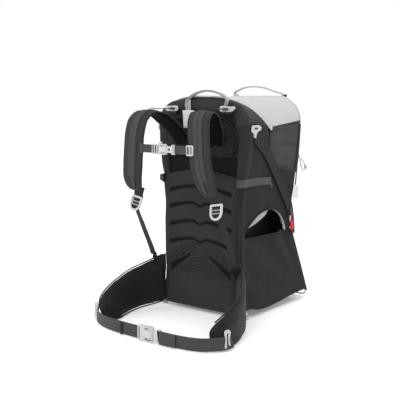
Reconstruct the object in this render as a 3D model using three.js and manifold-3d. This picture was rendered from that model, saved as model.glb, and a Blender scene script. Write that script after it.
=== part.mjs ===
// A framed baby carrier backpack, standing on its front feet and its wire kickstand.
// Millimetres, +Z up. The wearer's side (harness) faces -Y, the child's back is towards +Y, and +X is
// the wearer's right-hand side when the pack is seen from the harness. The origin is on the ground,
// under the middle of the whole object.
import * as THREE from "three";
import { mergeVertices } from "three/addons/utils/BufferGeometryUtils.js";
import Module from "manifold-3d";

const wasm = await Module();
wasm.setup();

// ---- Driving dimensions ----
const CENTRE_X = 34; // middle of the object's width: the right hip wing is spread further than the left
const CENTRE_Y = 16; // middle of the object's depth, seen from the front hoop's face
const GAP = 0.4; // clearance between touching pieces
const HOOP_RADIUS = 7; // main tube
const HOOP_Y = 8; // plane of the main hoop's centreline
const REAR_RADIUS = 5; // rear hoop
const WIRE_RADIUS = 2.5; // kickstand and sunshade wires
const SIDE_CLEARANCE = 2; // between a tube and the fabric stretched over it
const FABRIC = 3; // thickness of the sewn side and rear panels
const FOAM = 14; // thickness of the wearer's back pad
const KICK_PIVOT = { x: 158, y: 256, z: 285 };
const KICK_FOOT = { x: 172, y: 372, z: 8.5 };
const SHADE_PIVOT = { x: 179, y: 118, z: 592 };
const SHADE_SLOPE = 0.853; // the sunshade wire's plane drops this much per millimetre of depth
const STRAP_WIDTH = 75;
const STRAP_FOAM = 11;
const WEBBING = 2;

// Half of the main hoop's centreline, from a foot up to the crown: [x, z].
const HOOP_HALF = [
  [166, 16], [153, 44], [143, 90], [139, 160], [137, 250], [136, 340], [146, 430], [159, 500],
  [166, 560], [168, 605], [165, 628], [156, 643], [131, 663], [77, 674], [0, 677],
];
// The rear edge seen from the side, kickstand and rear hoop together: [y, z].
const REAR_LINE = [
  [372, 5], [256, 285], [262, 352], [273, 408], [278, 451], [287, 500], [297, 583], [298, 684],
];
// A shoulder strap from its root on the yoke, over the shoulder and down: [y, z, x of its middle].
const STRAP_LINE = [
  [-20, 548, 60], [-40, 586, 71], [-70, 622, 84], [-104, 645, 97], [-136, 647, 107], [-160, 626, 114],
  [-170, 588, 120], [-172, 535, 125], [-171, 484, 132], [-165, 436, 143], [-152, 404, 152],
];
// Top and bottom edges of the hip wings, which lean outwards towards the top: [x, y, z].
const WING_LEFT = {
  top: [
    [-158, -16, 172], [-196, -66, 146], [-230, -146, 109], [-225, -232, 69], [-180, -288, 58],
    [-160, -300, 58],
  ],
  bottom: [
    [-158, -20, 16], [-178, -90, 6], [-178, -135, 5], [-152, -228, 5], [-153, -278, 5], [-154, -292, 5],
  ],
};
const WING_RIGHT = {
  top: [
    [158, -16, 172], [194, -54, 167], [238, -116, 150], [268, -180, 126], [277, -232, 106], [250, -297, 64],
  ],
  bottom: [[158, -20, 16], [194, -60, 8], [240, -118, 5], [272, -180, 5], [287, -236, 5], [260, -302, 5]],
};
const WING_FOAM = 18;

// ---- Geometry helpers ----
const lerp = THREE.MathUtils.lerp;

function along(table, value, from, to) {
  const rows = [...table].sort((a, b) => a[from] - b[from]);
  if (value <= rows[0][from]) return rows[0][to];
  for (let i = 1; i < rows.length; i++) {
    const [low, high] = [rows[i - 1], rows[i]];
    if (value <= high[from]) return lerp(low[to], high[to], (value - low[from]) / (high[from] - low[from]));
  }
  return rows.at(-1)[to];
}

const HOOP_SIDE = HOOP_HALF.slice(0, 10);
const hoopX = (z) => along(HOOP_SIDE, z, 1, 0);
const rearY = (z) => along(REAR_LINE, z, 1, 0);
const rearX = (z) => along([[172, 5], [158, 285], [169, 600]], z, 1, 0);
const shadeY = (z) => SHADE_PIVOT.y - (z - SHADE_PIVOT.z) / SHADE_SLOPE;

// Inner face of the side fabric, stretched from the main hoop to the rear edge.
function sideX(y, z) {
  const share = THREE.MathUtils.clamp((y - HOOP_Y) / (rearY(z) - HOOP_Y), 0, 1.1);
  const front = hoopX(z) + HOOP_RADIUS + SIDE_CLEARANCE;
  return lerp(front, rearX(z) + REAR_RADIUS + SIDE_CLEARANCE, share);
}

const vec2 = (points) => points.map(([a, b]) => new THREE.Vector2(a, b));
const vec3 = (points) => points.map(([x, y, z]) => new THREE.Vector3(x, y, z));
const mirrored = (half) => [...half.map(([x, z]) => [-x, z]), ...half.slice(0, -1).reverse()];

function bend(geometry, place) {
  const position = geometry.getAttribute("position");
  const point = new THREE.Vector3();
  for (let i = 0; i < position.count; i++) {
    point.fromBufferAttribute(position, i);
    place(point);
    position.setXYZ(i, point.x, point.y, point.z);
  }
  return geometry;
}

const AXES = {
  x: new THREE.Matrix4().set(0, 0, 1, 0, 1, 0, 0, 0, 0, 1, 0, 0, 0, 0, 0, 1),
  y: new THREE.Matrix4().set(1, 0, 0, 0, 0, 0, -1, 0, 0, 1, 0, 0, 0, 0, 0, 1),
  z: new THREE.Matrix4(),
};
// A flat outline pushed along an axis from low to high: (y, z) for x, (x, z) for y and (x, y) for z.
function plate(outline, axis, low, high) {
  const shape = outline instanceof THREE.Shape ? outline : new THREE.Shape(vec2(outline));
  const made = new THREE.ExtrudeGeometry(shape, { depth: high - low, bevelEnabled: false });
  made.applyMatrix4(AXES[axis]);
  if (axis === "x") made.translate(low, 0, 0);
  if (axis === "y") made.translate(0, high, 0);
  if (axis === "z") made.translate(0, 0, low);
  return made;
}

// The outline of a band that follows a smooth line, between two distances from it.
function band(points, inner, outer, divisions) {
  const line = new THREE.SplineCurve(vec2(points));
  const side = (distance) =>
    Array.from({ length: divisions + 1 }, (_, i) => {
      const at = line.getPoint(i / divisions);
      const way = line.getTangent(i / divisions);
      return new THREE.Vector2(at.x - way.y * distance, at.y + way.x * distance);
    });
  return new THREE.Shape([...side(outer), ...side(inner).reverse()]);
}

function tube(points, radius, sides, steps) {
  const section = Array.from({ length: sides }, (_, i) => {
    const angle = (2 * Math.PI * (i + 0.5)) / sides;
    return new THREE.Vector2(radius * Math.cos(angle), radius * Math.sin(angle));
  });
  const extrudePath = new THREE.CatmullRomCurve3(vec3(points), false, "centripetal");
  return new THREE.ExtrudeGeometry(new THREE.Shape(section), { extrudePath, steps, bevelEnabled: false });
}

// A turned piece on an axis through a centre: profile points are [radius, distance along the axis].
function turned(profile, axis, [x, y, z], segments = 16) {
  const made = new THREE.LatheGeometry(vec2(profile), segments);
  if (axis === "x") made.rotateZ(-Math.PI / 2);
  if (axis === "z") made.rotateX(Math.PI / 2);
  return made.translate(x, y, z);
}

function solidOf(geometry) {
  const bare = geometry.index ? geometry.toNonIndexed() : geometry.clone();
  bare.deleteAttribute("normal");
  bare.deleteAttribute("uv");
  const merged = mergeVertices(bare, 1e-3);
  return new wasm.Manifold(
    new wasm.Mesh({
      numProp: 3,
      vertProperties: merged.getAttribute("position").array,
      triVerts: new Uint32Array(merged.index.array),
    }),
  );
}

function geometryOf(solid) {
  const mesh = solid.getMesh();
  return new THREE.BufferGeometry()
    .setAttribute("position", new THREE.BufferAttribute(mesh.vertProperties, 3))
    .setIndex(new THREE.BufferAttribute(mesh.triVerts, 1));
}

const common = (a, b) => geometryOf(solidOf(a).intersect(solidOf(b)));
const cut = (a, ...rest) => geometryOf(rest.reduce((left, b) => left.subtract(solidOf(b)), solidOf(a)));
const join = (...pieces) => geometryOf(pieces.map(solidOf).reduce((sum, piece) => sum.add(piece)));

// ---- The scene ----
const COLOURS = {
  tube: { color: 0xb9bcc0, roughness: 0.35, metalness: 0.9 },
  plastic: { color: 0xd3d4d6, roughness: 0.5, metalness: 0 },
  grey_plastic: { color: 0x8b8d90, roughness: 0.55, metalness: 0 },
  charcoal: { color: 0x2c2d2f, roughness: 0.9, metalness: 0 },
  black: { color: 0x161719, roughness: 0.9, metalness: 0 },
  air_mesh: { color: 0x3a3937, roughness: 0.95, metalness: 0 },
  window_mesh: { color: 0x4a4b4d, roughness: 0.85, metalness: 0 },
  webbing: { color: 0x27282a, roughness: 0.85, metalness: 0 },
  canopy: { color: 0xcfd0d2, roughness: 0.8, metalness: 0 },
  grey_webbing: { color: 0xc4c5c7, roughness: 0.8, metalness: 0 },
  red: { color: 0xc8202a, roughness: 0.7, metalness: 0 },
};
const carrier = new THREE.Group();
carrier.position.set(-CENTRE_X, -CENTRE_Y, 0);

function add(name, geometry, colour) {
  const mesh = new THREE.Mesh(geometry, new THREE.MeshStandardMaterial(COLOURS[colour]));
  mesh.name = name;
  carrier.add(mesh);
  return mesh;
}

// The same piece on the +X side (right) and mirrored to the -X side (left).
function addPair(name, geometry, colour) {
  add(name + "_right", geometry, colour);
  add(name + "_left", geometry, colour).scale.x = -1;
}

// ---- Frame ----
const hoop = mirrored(HOOP_HALF);
add("main_hoop", tube(hoop.map(([x, z]) => [x, HOOP_Y, z]), HOOP_RADIUS, 8, 56), "tube");
const FOOT_PROFILE = [[0, 0], [9, 0], [10, 2], [10, 9], [7, 11.5], [0, 11.5]];
addPair("front_foot", turned(FOOT_PROFILE, "z", [166, HOOP_Y, 0]), "plastic");

function crossbar(z, radius) {
  const reach = hoopX(z) - HOOP_RADIUS - 3;
  return tube([[-reach, HOOP_Y, z], [0, HOOP_Y, z], [reach, HOOP_Y, z]], radius, 8, 2);
}
add("lower_crossbar", crossbar(60, 5), "tube");
add("waist_crossbar", crossbar(290, 6), "tube");

addPair(
  "seat_rail",
  tube([[129, 17, 216], [140, 60, 212], [147, 140, 212], [149, 205, 224], [149, 234, 252]], 5, 8, 12),
  "tube",
);
addPair(
  "hinge_bracket",
  turned([[0, 0], [16, 0], [16, 11], [12, 13.5], [0, 13.5]], "x", [141.5, KICK_PIVOT.y, KICK_PIVOT.z]),
  "grey_plastic",
);

const REAR_FOOT_Z = 303; // the rear hoop stands on the hinge brackets
const REAR_HALF = [
  ...[REAR_FOOT_Z, 352, 408, 451, 500, 583].map((z) => [rearX(z), rearY(z), z]),
  [167, 298, 612], [164, 298, 628], [155, 298, 645], [135, 298, 665], [108, 298, 681],
  [60, 298, 684], [0, 298, 684],
];
const rearHoop = [...REAR_HALF.map(([x, y, z]) => [-x, y, z]), ...REAR_HALF.slice(0, -1).reverse()];
add("rear_hoop", tube(rearHoop, REAR_RADIUS, 8, 48), "tube");

// ---- Wearer's back panel ----
const PANEL_HALF = [
  [150, 12], [143, 110], [148, 184], [149, 286], [146, 350], [155, 430], [131, 445], [46, 462],
];
const chevron = [[-124, -6], [-60, 12], [-26, 16], [-8, 7], [8, 7], [26, 16], [60, 12], [124, -6]];
const CHEVRON_HEIGHT = 11;
const CHEVRON_Z = [390, 336, 277, 219];
function backPanel() {
  const outline = new THREE.Shape(vec2([...PANEL_HALF, ...PANEL_HALF.toReversed().map(([x, z]) => [-x, z])]));
  for (const z of CHEVRON_Z) {
    const lower = chevron.map(([x, rise]) => [x, z + rise]);
    const upper = lower.map(([x, low]) => [x, low + CHEVRON_HEIGHT]).reverse();
    outline.holes.push(new THREE.Path(vec2([...lower, ...upper])));
  }
  for (const side of [-1, 1]) {
    const slot = [[122, 122], [122, 146], [44, 190], [40, 182]].map(([x, z]) => [side * x, z]);
    outline.holes.push(new THREE.Path(vec2(slot)));
  }
  return plate(outline, "y", -1 - FOAM, -1);
}
add("back_panel", backPanel(), "air_mesh");

const UPPER_HALF = [
  [150, 468], [160, 500], [169, 560], [171, 610], [158, 648], [131, 668], [77, 680], [0, 684],
];
add("upper_back_panel", plate(mirrored(UPPER_HALF), "y", -4, -1), "black");

// ---- Side fabric: one curved sheet per side, cut to each panel's outline ----
const SHEET_TOP = 640;
const SHEET_DEPTH = 400;
function sideSheet(outline, inner, outer) {
  const grid = new THREE.BoxGeometry(1, SHEET_DEPTH, SHEET_TOP, 1, 6, 16);
  bend(grid, (p) => {
    p.y += SHEET_DEPTH / 2 - 2;
    p.z += SHEET_TOP / 2;
    p.x = sideX(p.y, p.z) + lerp(inner, outer, p.x + 0.5);
  });
  return common(grid, plate(outline, "x", 100, 260));
}

const FRONT_EDGE = 0.6;
const LEG_ARC = [
  [18, 274], [33, 285], [60, 305], [88, 322], [115, 331], [142, 334], [175, 330], [205, 314],
  [227, 288], [240, 256],
];
const SIDE_OUTLINE = [
  [FRONT_EDGE, 262], ...LEG_ARC, [252, 262], [261, 296], [265, 352], [276, 408], [281, 447],
  [129, 474], [113, 570], [101, 590], [99, 600], [FRONT_EDGE, 600],
];
addPair("side_panel", sideSheet(SIDE_OUTLINE, 0, FABRIC), "charcoal");
const WINDOW_OUTLINE = [[131, 476], [282, 450], [290, 500], [300, 600], [140, 600], [136, 590], [122, 570]];
addPair("mesh_window", sideSheet(WINDOW_OUTLINE, 0, 2), "window_mesh");
const GUSSET_TOP = 244;
const GUSSET_OUTLINE = [
  [FRONT_EDGE, 36], [60, 22], [117, 17], [201, 23], [264, 29], [352, 40], [331, 112], [308, 176], [276, 236],
  [236, GUSSET_TOP], [FRONT_EDGE, GUSSET_TOP],
];
addPair("gusset", sideSheet(GUSSET_OUTLINE, 0, FABRIC), "charcoal");
const STRAP_OUTLINE = [[14, 566], [44, 578], [262, 326], [262, 300], [246, 300]];
addPair("side_strap", sideSheet(STRAP_OUTLINE, FABRIC + 2, FABRIC + 4), "webbing");
const BUCKLE_OUTLINE = [
  [2, 586], [4, 608], [40, 608], [54, 598], [46, 588], [26, 582], [22, 568], [14, 570], [14, 584],
];
addPair(
  "side_buckle",
  cut(
    plate(BUCKLE_OUTLINE, "x", 183, 189),
    plate([[14, 592], [14, 600], [34, 600], [34, 592]], "x", 180, 192),
  ),
  "plastic",
);

// ---- Roof: the dark arch cover in front and the pale canopy behind the sunshade wire ----
const ROOF_HALF = [[168, 604], [165, 628], [156, 643], [131, 663], [77, 674], [0, 677]];
const ROOF_LINE = mirrored(ROOF_HALF);
const COVER = [HOOP_RADIUS + 1, HOOP_RADIUS + 1 + FABRIC];
function roofBand(front, back) {
  const made = plate(band(ROOF_LINE, ...COVER, 30), "y", 0, 1);
  return bend(made, (p) => {
    p.y = lerp(front(p.z), back(p.z), p.y);
  });
}
const WIRE_CLEARANCE = 6; // along Y, from the wire's plane to the fabric on each side
const CANOPY_BACK = 291;
const coverFront = () => FRONT_EDGE;
const coverBack = (z) => Math.max(shadeY(z) - WIRE_CLEARANCE, 2);
add("arch_cover", roofBand(coverFront, coverBack), "charcoal");
add("canopy", roofBand((z) => shadeY(z) + WIRE_CLEARANCE, () => CANOPY_BACK), "canopy");

const SHADE_HALF = [
  [165, 592], [165, 607], [161, 625], [148, 652], [124, 669], [102, 678], [70, 686], [0, 689],
];
const shadeWire = mirrored(SHADE_HALF).map(([x, z]) => [x, shadeY(z), z]);
add("sunshade_hoop", tube(shadeWire, WIRE_RADIUS, 8, 36), "plastic");

// ---- Rear panel and pocket ----
function rearSheet(outline, near, far, low, high) {
  const levels = Array.from({ length: 9 }, (_, i) => lerp(low, high, i / 8));
  const reach = (part, distance) => part.map((z) => [rearY(z) + distance(z), z]);
  const profile = [...reach(levels, near), ...reach(levels.toReversed(), far)];
  return common(plate(profile, "x", -200, 200), plate(outline, "y", 200, 400));
}
const REAR_FACE = REAR_RADIUS + 2;
const REAR_OUTLINE = [
  [150, 304], [157, 400], [162, 500], [166, 600], [161, 628], [152, 645], [132, 666], [106, 682],
  [60, 686], [0, 686],
];
const rearPanel = rearSheet(mirrored(REAR_OUTLINE), () => REAR_FACE, () => REAR_FACE + FABRIC, 304, 686);
add("rear_panel", rearPanel, "charcoal");
const bulge = (z) => REAR_FACE + FABRIC + 2 + 26 * Math.sin((Math.PI * (z - 324)) / (600 - 324)) ** 0.5;
const POCKET_OUTLINE = [[96, 330], [118, 350], [124, 560], [100, 592], [0, 596]];
add(
  "rear_pocket",
  rearSheet(mirrored(POCKET_OUTLINE), () => REAR_FACE + FABRIC + 1, bulge, 330, 596),
  "charcoal",
);

// ---- Lower bag: fabric behind and under the child's seat, which folds with the kickstand ----
const slant = (z) => lerp(KICK_FOOT.y, KICK_PIVOT.y, (z - KICK_FOOT.z) / (KICK_PIVOT.z - KICK_FOOT.z));
function lowerRear() {
  const [low, high] = [38, 268];
  const profile = [[low, 4], [high, 4], [high, 7], [low, 7]].map(([z, off]) => [slant(z) + off, z]);
  const outline = [[-166, low], [166, low], [156, high], [-156, high]];
  return common(plate(profile, "x", -170, 170), plate(outline, "y", 200, 400));
}
add("lower_rear_panel", lowerRear(), "charcoal");
add("cargo_floor", plate([[18, 20], [345, 30], [345, 33], [18, 23]], "x", -142, 142), "charcoal");

// ---- Kickstand ----
const KICK_HALF = [
  [158, 256, 285], [165, slant(150), 150], [170.5, slant(40), 40], [166, 371, 14], [150, 373, 8.5],
  [80, 373, 8.5],
];
const kickLine = [...KICK_HALF.map(([x, y, z]) => [-x, y, z]), ...KICK_HALF.toReversed()];
add("kickstand", tube(kickLine, WIRE_RADIUS, 8, 60), "tube");
addPair(
  "kickstand_foot",
  turned([[3.6, -9], [6, -9], [8, -6], [8, 6], [6, 9], [3.6, 9], [3.6, -9]], "x", [112, 373, 8.5]),
  "grey_plastic",
);

// ---- Child's seat ----
const SEAT_HALF = [[60, 240], [134, 219], [134, 223], [66, 258], [40, 268]];
const seatOutline = [...SEAT_HALF, ...SEAT_HALF.toReversed().map(([x, z]) => [-x, z])];
add("seat_pad", plate(seatOutline, "y", 66, 232), "black");
const BACK_HALF = [[90, 270], [105, 300], [105, 540], [80, 562]];
const backOutline = [...BACK_HALF, ...BACK_HALF.toReversed().map(([x, z]) => [-x, z])];
add("child_back_pad", plate(backOutline, "y", 236, 250), "black");
const HARNESS_HALF = [[26, 420], [30, 300], [52, 300], [46, 530], [24, 530], [24, 446]];
const HARNESS_STRAPS = [...HARNESS_HALF, ...HARNESS_HALF.toReversed().map(([x, z]) => [-x, z])];
add("child_harness", plate(HARNESS_STRAPS, "y", 230, 234), "webbing");

// ---- Shoulder harness ----
const YOKE_HALF = [[128, 530], [140, 556], [122, 604], [84, 636], [45, 630], [0, 600]];
const YOKE_LOWER = [[-128, 530], [-96, 516], [-45, 532], [0, 556], [45, 532], [96, 516]];
const yokeOther = YOKE_HALF.slice(0, -1).toReversed().map(([x, z]) => [-x, z]);
add("harness_yoke", plate([...YOKE_LOWER, ...YOKE_HALF, ...yokeOther], "y", -12, -7), "black");

function shoulderStrap() {
  const line = new THREE.SplineCurve(vec2(STRAP_LINE));
  const profile = band(STRAP_LINE, -STRAP_FOAM / 2, STRAP_FOAM / 2, 30);
  const made = plate(profile, "x", -STRAP_WIDTH / 2, STRAP_WIDTH / 2);
  const marks = line.getPoints(60);
  const centres = STRAP_LINE.map(([, , x], i) => new THREE.Vector2(i, x));
  const middles = new THREE.SplineCurve(centres).getPoints(60);
  return bend(made, (p) => {
    const spread = marks.map((mark) => Math.hypot(mark.x - p.y, mark.y - p.z));
    p.x += middles[spread.indexOf(Math.min(...spread))].y;
  });
}
addPair("shoulder_strap", shoulderStrap(), "charcoal");

function strapAdjuster() {
  const ring = new THREE.Shape(vec2([[-23, -16], [-14, -25], [14, -25], [23, -16], [23, 22], [-23, 22]]));
  for (const low of [-14, 6]) {
    ring.holes.push(new THREE.Path(vec2([[-16, low], [-16, low + 10], [16, low + 10], [16, low]])));
  }
  const made = plate(ring, "y", -3, 3);
  return made.rotateX(0.35).translate(160, -141, 357);
}
addPair("strap_adjuster", strapAdjuster(), "plastic");
addPair(
  "strap_webbing",
  bend(plate(band([[-132, 324], [-90, 250], [-52, 178]], -0.8, 0.8, 4), "x", -11, 11), (p) => {
    p.x += lerp(164, 166, (p.z - 178) / (324 - 178));
  }),
  "webbing",
);
const LIFTER_OUTLINE = [
  [84, 652], [90, 648], [126, 648], [136, 652], [144, 660], [140, 666], [126, 662], [90, 666], [84, 662],
];
addPair(
  "lifter_buckle",
  cut(
    plate(LIFTER_OUTLINE, "y", -24, -16),
    plate([[96, 653], [120, 653], [120, 658], [96, 658]], "y", -26, -14),
  ),
  "plastic",
);

// ---- Sternum strap ----
const STERNUM_Y = -181;
const STERNUM_Z = 538;
function sternumBar(x0, x1, height, near, far) {
  const [low, high] = [STERNUM_Z - height / 2, STERNUM_Z + height / 2];
  return plate([[x0, low], [x1, low], [x1, high], [x0, high]], "y", STERNUM_Y + near, STERNUM_Y + far);
}
add("sternum_webbing_left", sternumBar(-92, -23, 25, -1, 1), "webbing");
const whistle = turned([[0, 0], [6, 0], [6, 8], [0, 8]], "z", [-11, STERNUM_Y - 1, STERNUM_Z + 14]);
add("sternum_buckle_female", join(sternumBar(-22, 13.6, 30, -6, 4), whistle), "plastic");
add("sternum_buckle_male", sternumBar(14, 44.5, 30, -5, 3), "plastic");
const rightEnd = sternumBar(88, 113, 30, -3, 3);
add("sternum_webbing_right", join(sternumBar(45, 92, 25, -1, 1), rightEnd), "webbing");

// ---- Hip belt ----
const BELT_Z = 22;
function hipWing({ top, bottom }) {
  const edge = (line) => new THREE.CatmullRomCurve3(vec3(line), false, "centripetal");
  const [upper, lower] = [edge(top), edge(bottom)];
  return bend(new THREE.BoxGeometry(1, 1, 1, 16, 1, 1), (p) => {
    const at = p.x + 0.5;
    const [high, low] = [upper.getPointAt(at), lower.getPointAt(at)];
    const ahead = upper.getTangentAt(at).add(lower.getTangentAt(at));
    const across = high.clone().sub(low).cross(ahead).setLength(Math.sign(p.y) * (WING_FOAM / 2));
    p.copy(low.lerp(high, p.z + 0.5).add(across));
  });
}
add("hip_wing_right", hipWing(WING_RIGHT), "charcoal");
add("hip_wing_left", hipWing(WING_LEFT), "charcoal");

function beltLoop(x, y, turn) {
  const right = [[7, -26], [9, -20], [7, 0], [9, 20], [7, 26]];
  const ring = new THREE.Shape(vec2([...right, ...right.toReversed().map(([a, b]) => [-a, b])]));
  ring.holes.push(new THREE.Path(vec2([[-3, -18], [-3, 18], [3, 18], [3, -18]])));
  return plate(ring, "y", -3, 3).rotateZ(turn).translate(x, y, 34);
}
add("belt_loop_right", beltLoop(303, -260, 1.35), "plastic");
add("belt_loop_left", beltLoop(-201, -293, -0.93), "plastic");

const beltBand = (line) => plate(band(line, -WEBBING / 2, WEBBING / 2, 10), "z", BELT_Z - 19, BELT_Z + 19);
const BELT_RIGHT = [[300, -284], [268, -316], [221, -338], [170, -345], [121, -346]];
const BELT_LEFT = [[-176, -302], [-144, -319], [-88, -336], [-30, -341], [35, -343]];
add("belt_webbing_right", beltBand(BELT_RIGHT), "webbing");
add("belt_webbing_left", beltBand(BELT_LEFT), "webbing");
const beltPlate = (outline, thick) => plate(outline, "y", -344 - thick / 2, -344 + thick / 2);
const HIP_FEMALE = [[36, 2], [89, 0.8], [93.6, 6], [93.6, 40], [89, 47], [36, 46]];
const HIP_MALE = [[94.4, 8], [101, 8], [119.5, 3], [119.5, 43], [101, 38], [94.4, 38]];
add("hip_buckle_female", beltPlate(HIP_FEMALE, 13), "plastic");
add("hip_buckle_male", beltPlate(HIP_MALE, 10), "plastic");

// ---- Handles, tab and zip pull ----
const FRONT_GRIP = [
  [-51, 652], [-51, 681], [-34, 695], [-8, 706], [22, 711],
  [54, 708], [83, 699], [103, 684], [99, 668], [94, 650],
];
const frontHandle = band(FRONT_GRIP, -2, 2, 26);
add("front_handle", plate(frontHandle, "y", -14, -5), "grey_webbing");
const REAR_GRIP = [
  [-90, 695], [-103, 702], [-72, 720], [-26, 727], [20, 723], [66, 709], [98, 698], [104, 680],
];
const rearHandle = band(REAR_GRIP, -2, 2, 26);
add("rear_handle", plate(rearHandle, "y", 311, 325), "grey_webbing");
const TAB_OUTLINE = [[250, 252], [264, 252], [266, 280], [262, 314], [252, 314], [248, 280]];
add("release_tab", plate(TAB_OUTLINE, "x", 175, 178), "red");
const pullLine = [
  [311, 492], [326, 484], [346, 468], [353, 454], [344, 446], [330, 454], [322, 470], [316, 484],
];
add("zip_pull", tube(pullLine.map(([y, z]) => [168, y, z]), 1.6, 8, 26), "grey_webbing");

export default carrier;
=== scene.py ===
"""A framed baby carrier backpack: fabric, foam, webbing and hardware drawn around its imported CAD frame.

Measures are millimetres in the carrier's own frame: X across, Y to the rear from the front hoop, Z up.
"""

import math

import bmesh
import bpy
import numpy as np
from mathutils import Matrix, Vector
from mathutils.geometry import delaunay_2d_cdt


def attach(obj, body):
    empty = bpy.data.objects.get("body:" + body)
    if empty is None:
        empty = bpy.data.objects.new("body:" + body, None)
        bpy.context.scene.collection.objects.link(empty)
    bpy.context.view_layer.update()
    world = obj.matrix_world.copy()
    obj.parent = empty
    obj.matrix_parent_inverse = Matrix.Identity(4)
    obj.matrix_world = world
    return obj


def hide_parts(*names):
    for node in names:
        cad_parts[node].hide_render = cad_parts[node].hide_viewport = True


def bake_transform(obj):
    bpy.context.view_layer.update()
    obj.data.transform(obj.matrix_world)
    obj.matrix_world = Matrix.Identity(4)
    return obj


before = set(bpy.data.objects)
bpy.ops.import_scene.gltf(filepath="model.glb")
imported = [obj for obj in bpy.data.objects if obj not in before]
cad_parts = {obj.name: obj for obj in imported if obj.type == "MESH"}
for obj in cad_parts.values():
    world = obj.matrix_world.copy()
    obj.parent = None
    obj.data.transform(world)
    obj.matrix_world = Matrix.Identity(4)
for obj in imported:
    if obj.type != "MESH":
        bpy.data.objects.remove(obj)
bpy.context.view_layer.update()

MM = 0.001
CENTRE = np.array([34.0, 16.0, 0.0])  # the row frame's origin, seen from the middle of the front hoop
X_AXIS = np.array([1.0, 0.0, 0.0])
TO_WEARER = (0, -1, 0)
CLOTH = 1.6  # a single layer of packcloth with its coating
BELT_WIDTH = 38  # webbing of the hip belt and the side straps
CHEST_WIDTH = 25  # webbing of the sternum strap and the waist elastic
SIDES = ((1, "right"), (-1, "left"))


def metres(points):
    return (np.asarray(points, float) - CENTRE) * MM


# ---------------------------------------------------------------- camera, light and floor
def set_stage():
    scene = bpy.context.scene
    azimuth, pitch = math.radians(38.1), math.radians(7.7)
    across = Vector((math.cos(azimuth), math.sin(azimuth), 0))
    ahead = Vector((-math.sin(azimuth), math.cos(azimuth), 0))
    spot = (-2450 * ahead - 8 * across + Vector((-CENTRE[0], -CENTRE[1], 697))) * MM
    camera = bpy.data.objects.new("camera", bpy.data.cameras.new("camera"))
    camera.data.lens = 69.66
    camera.data.sensor_width = 36
    camera.location = spot
    camera.rotation_euler = (math.pi / 2 - pitch, 0, azimuth)
    scene.collection.objects.link(camera)
    scene.camera = camera

    floor = bpy.data.meshes.new("floor")
    floor.from_pydata([(-9, -9, 0), (9, -9, 0), (9, 9, 0), (-9, 9, 0)], [], [(0, 1, 2, 3)])
    ground = bpy.data.objects.new("floor", floor)
    ground.location.z = -0.0005
    material = bpy.data.materials.new("floor")
    material.use_nodes = True
    shader = material.node_tree.nodes["Principled BSDF"]
    shader.inputs["Base Color"].default_value = (0.88, 0.88, 0.88, 1)
    shader.inputs["Roughness"].default_value = 0.9
    shader.inputs["Emission Color"].default_value = (1, 1, 1, 1)
    shader.inputs["Emission Strength"].default_value = 0.16
    floor.materials.append(material)
    scene.collection.objects.link(ground)

    world = bpy.data.worlds.new("world")
    world.use_nodes = True
    world.node_tree.nodes["Background"].inputs["Color"].default_value = (1, 1, 1, 1)
    world.node_tree.nodes["Background"].inputs["Strength"].default_value = 1.0
    scene.world = world
    scene.view_settings.view_transform = "Standard"
    for name, place, size, power in (
        ("key", (1.2, -2.6, 3.0), 1.8, 54),
        ("fill", (-2.6, -1.8, 1.6), 2.0, 26),
        ("rim", (0.6, 2.6, 2.6), 2.0, 34),
    ):
        light = bpy.data.lights.new(name, "AREA")
        light.size = size
        light.energy = power
        lamp = bpy.data.objects.new(name, light)
        lamp.location = place
        lamp.rotation_euler = (Vector((0, 0, 0.35)) - lamp.location).to_track_quat("-Z", "Y").to_euler()
        scene.collection.objects.link(lamp)


set_stage()


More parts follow.
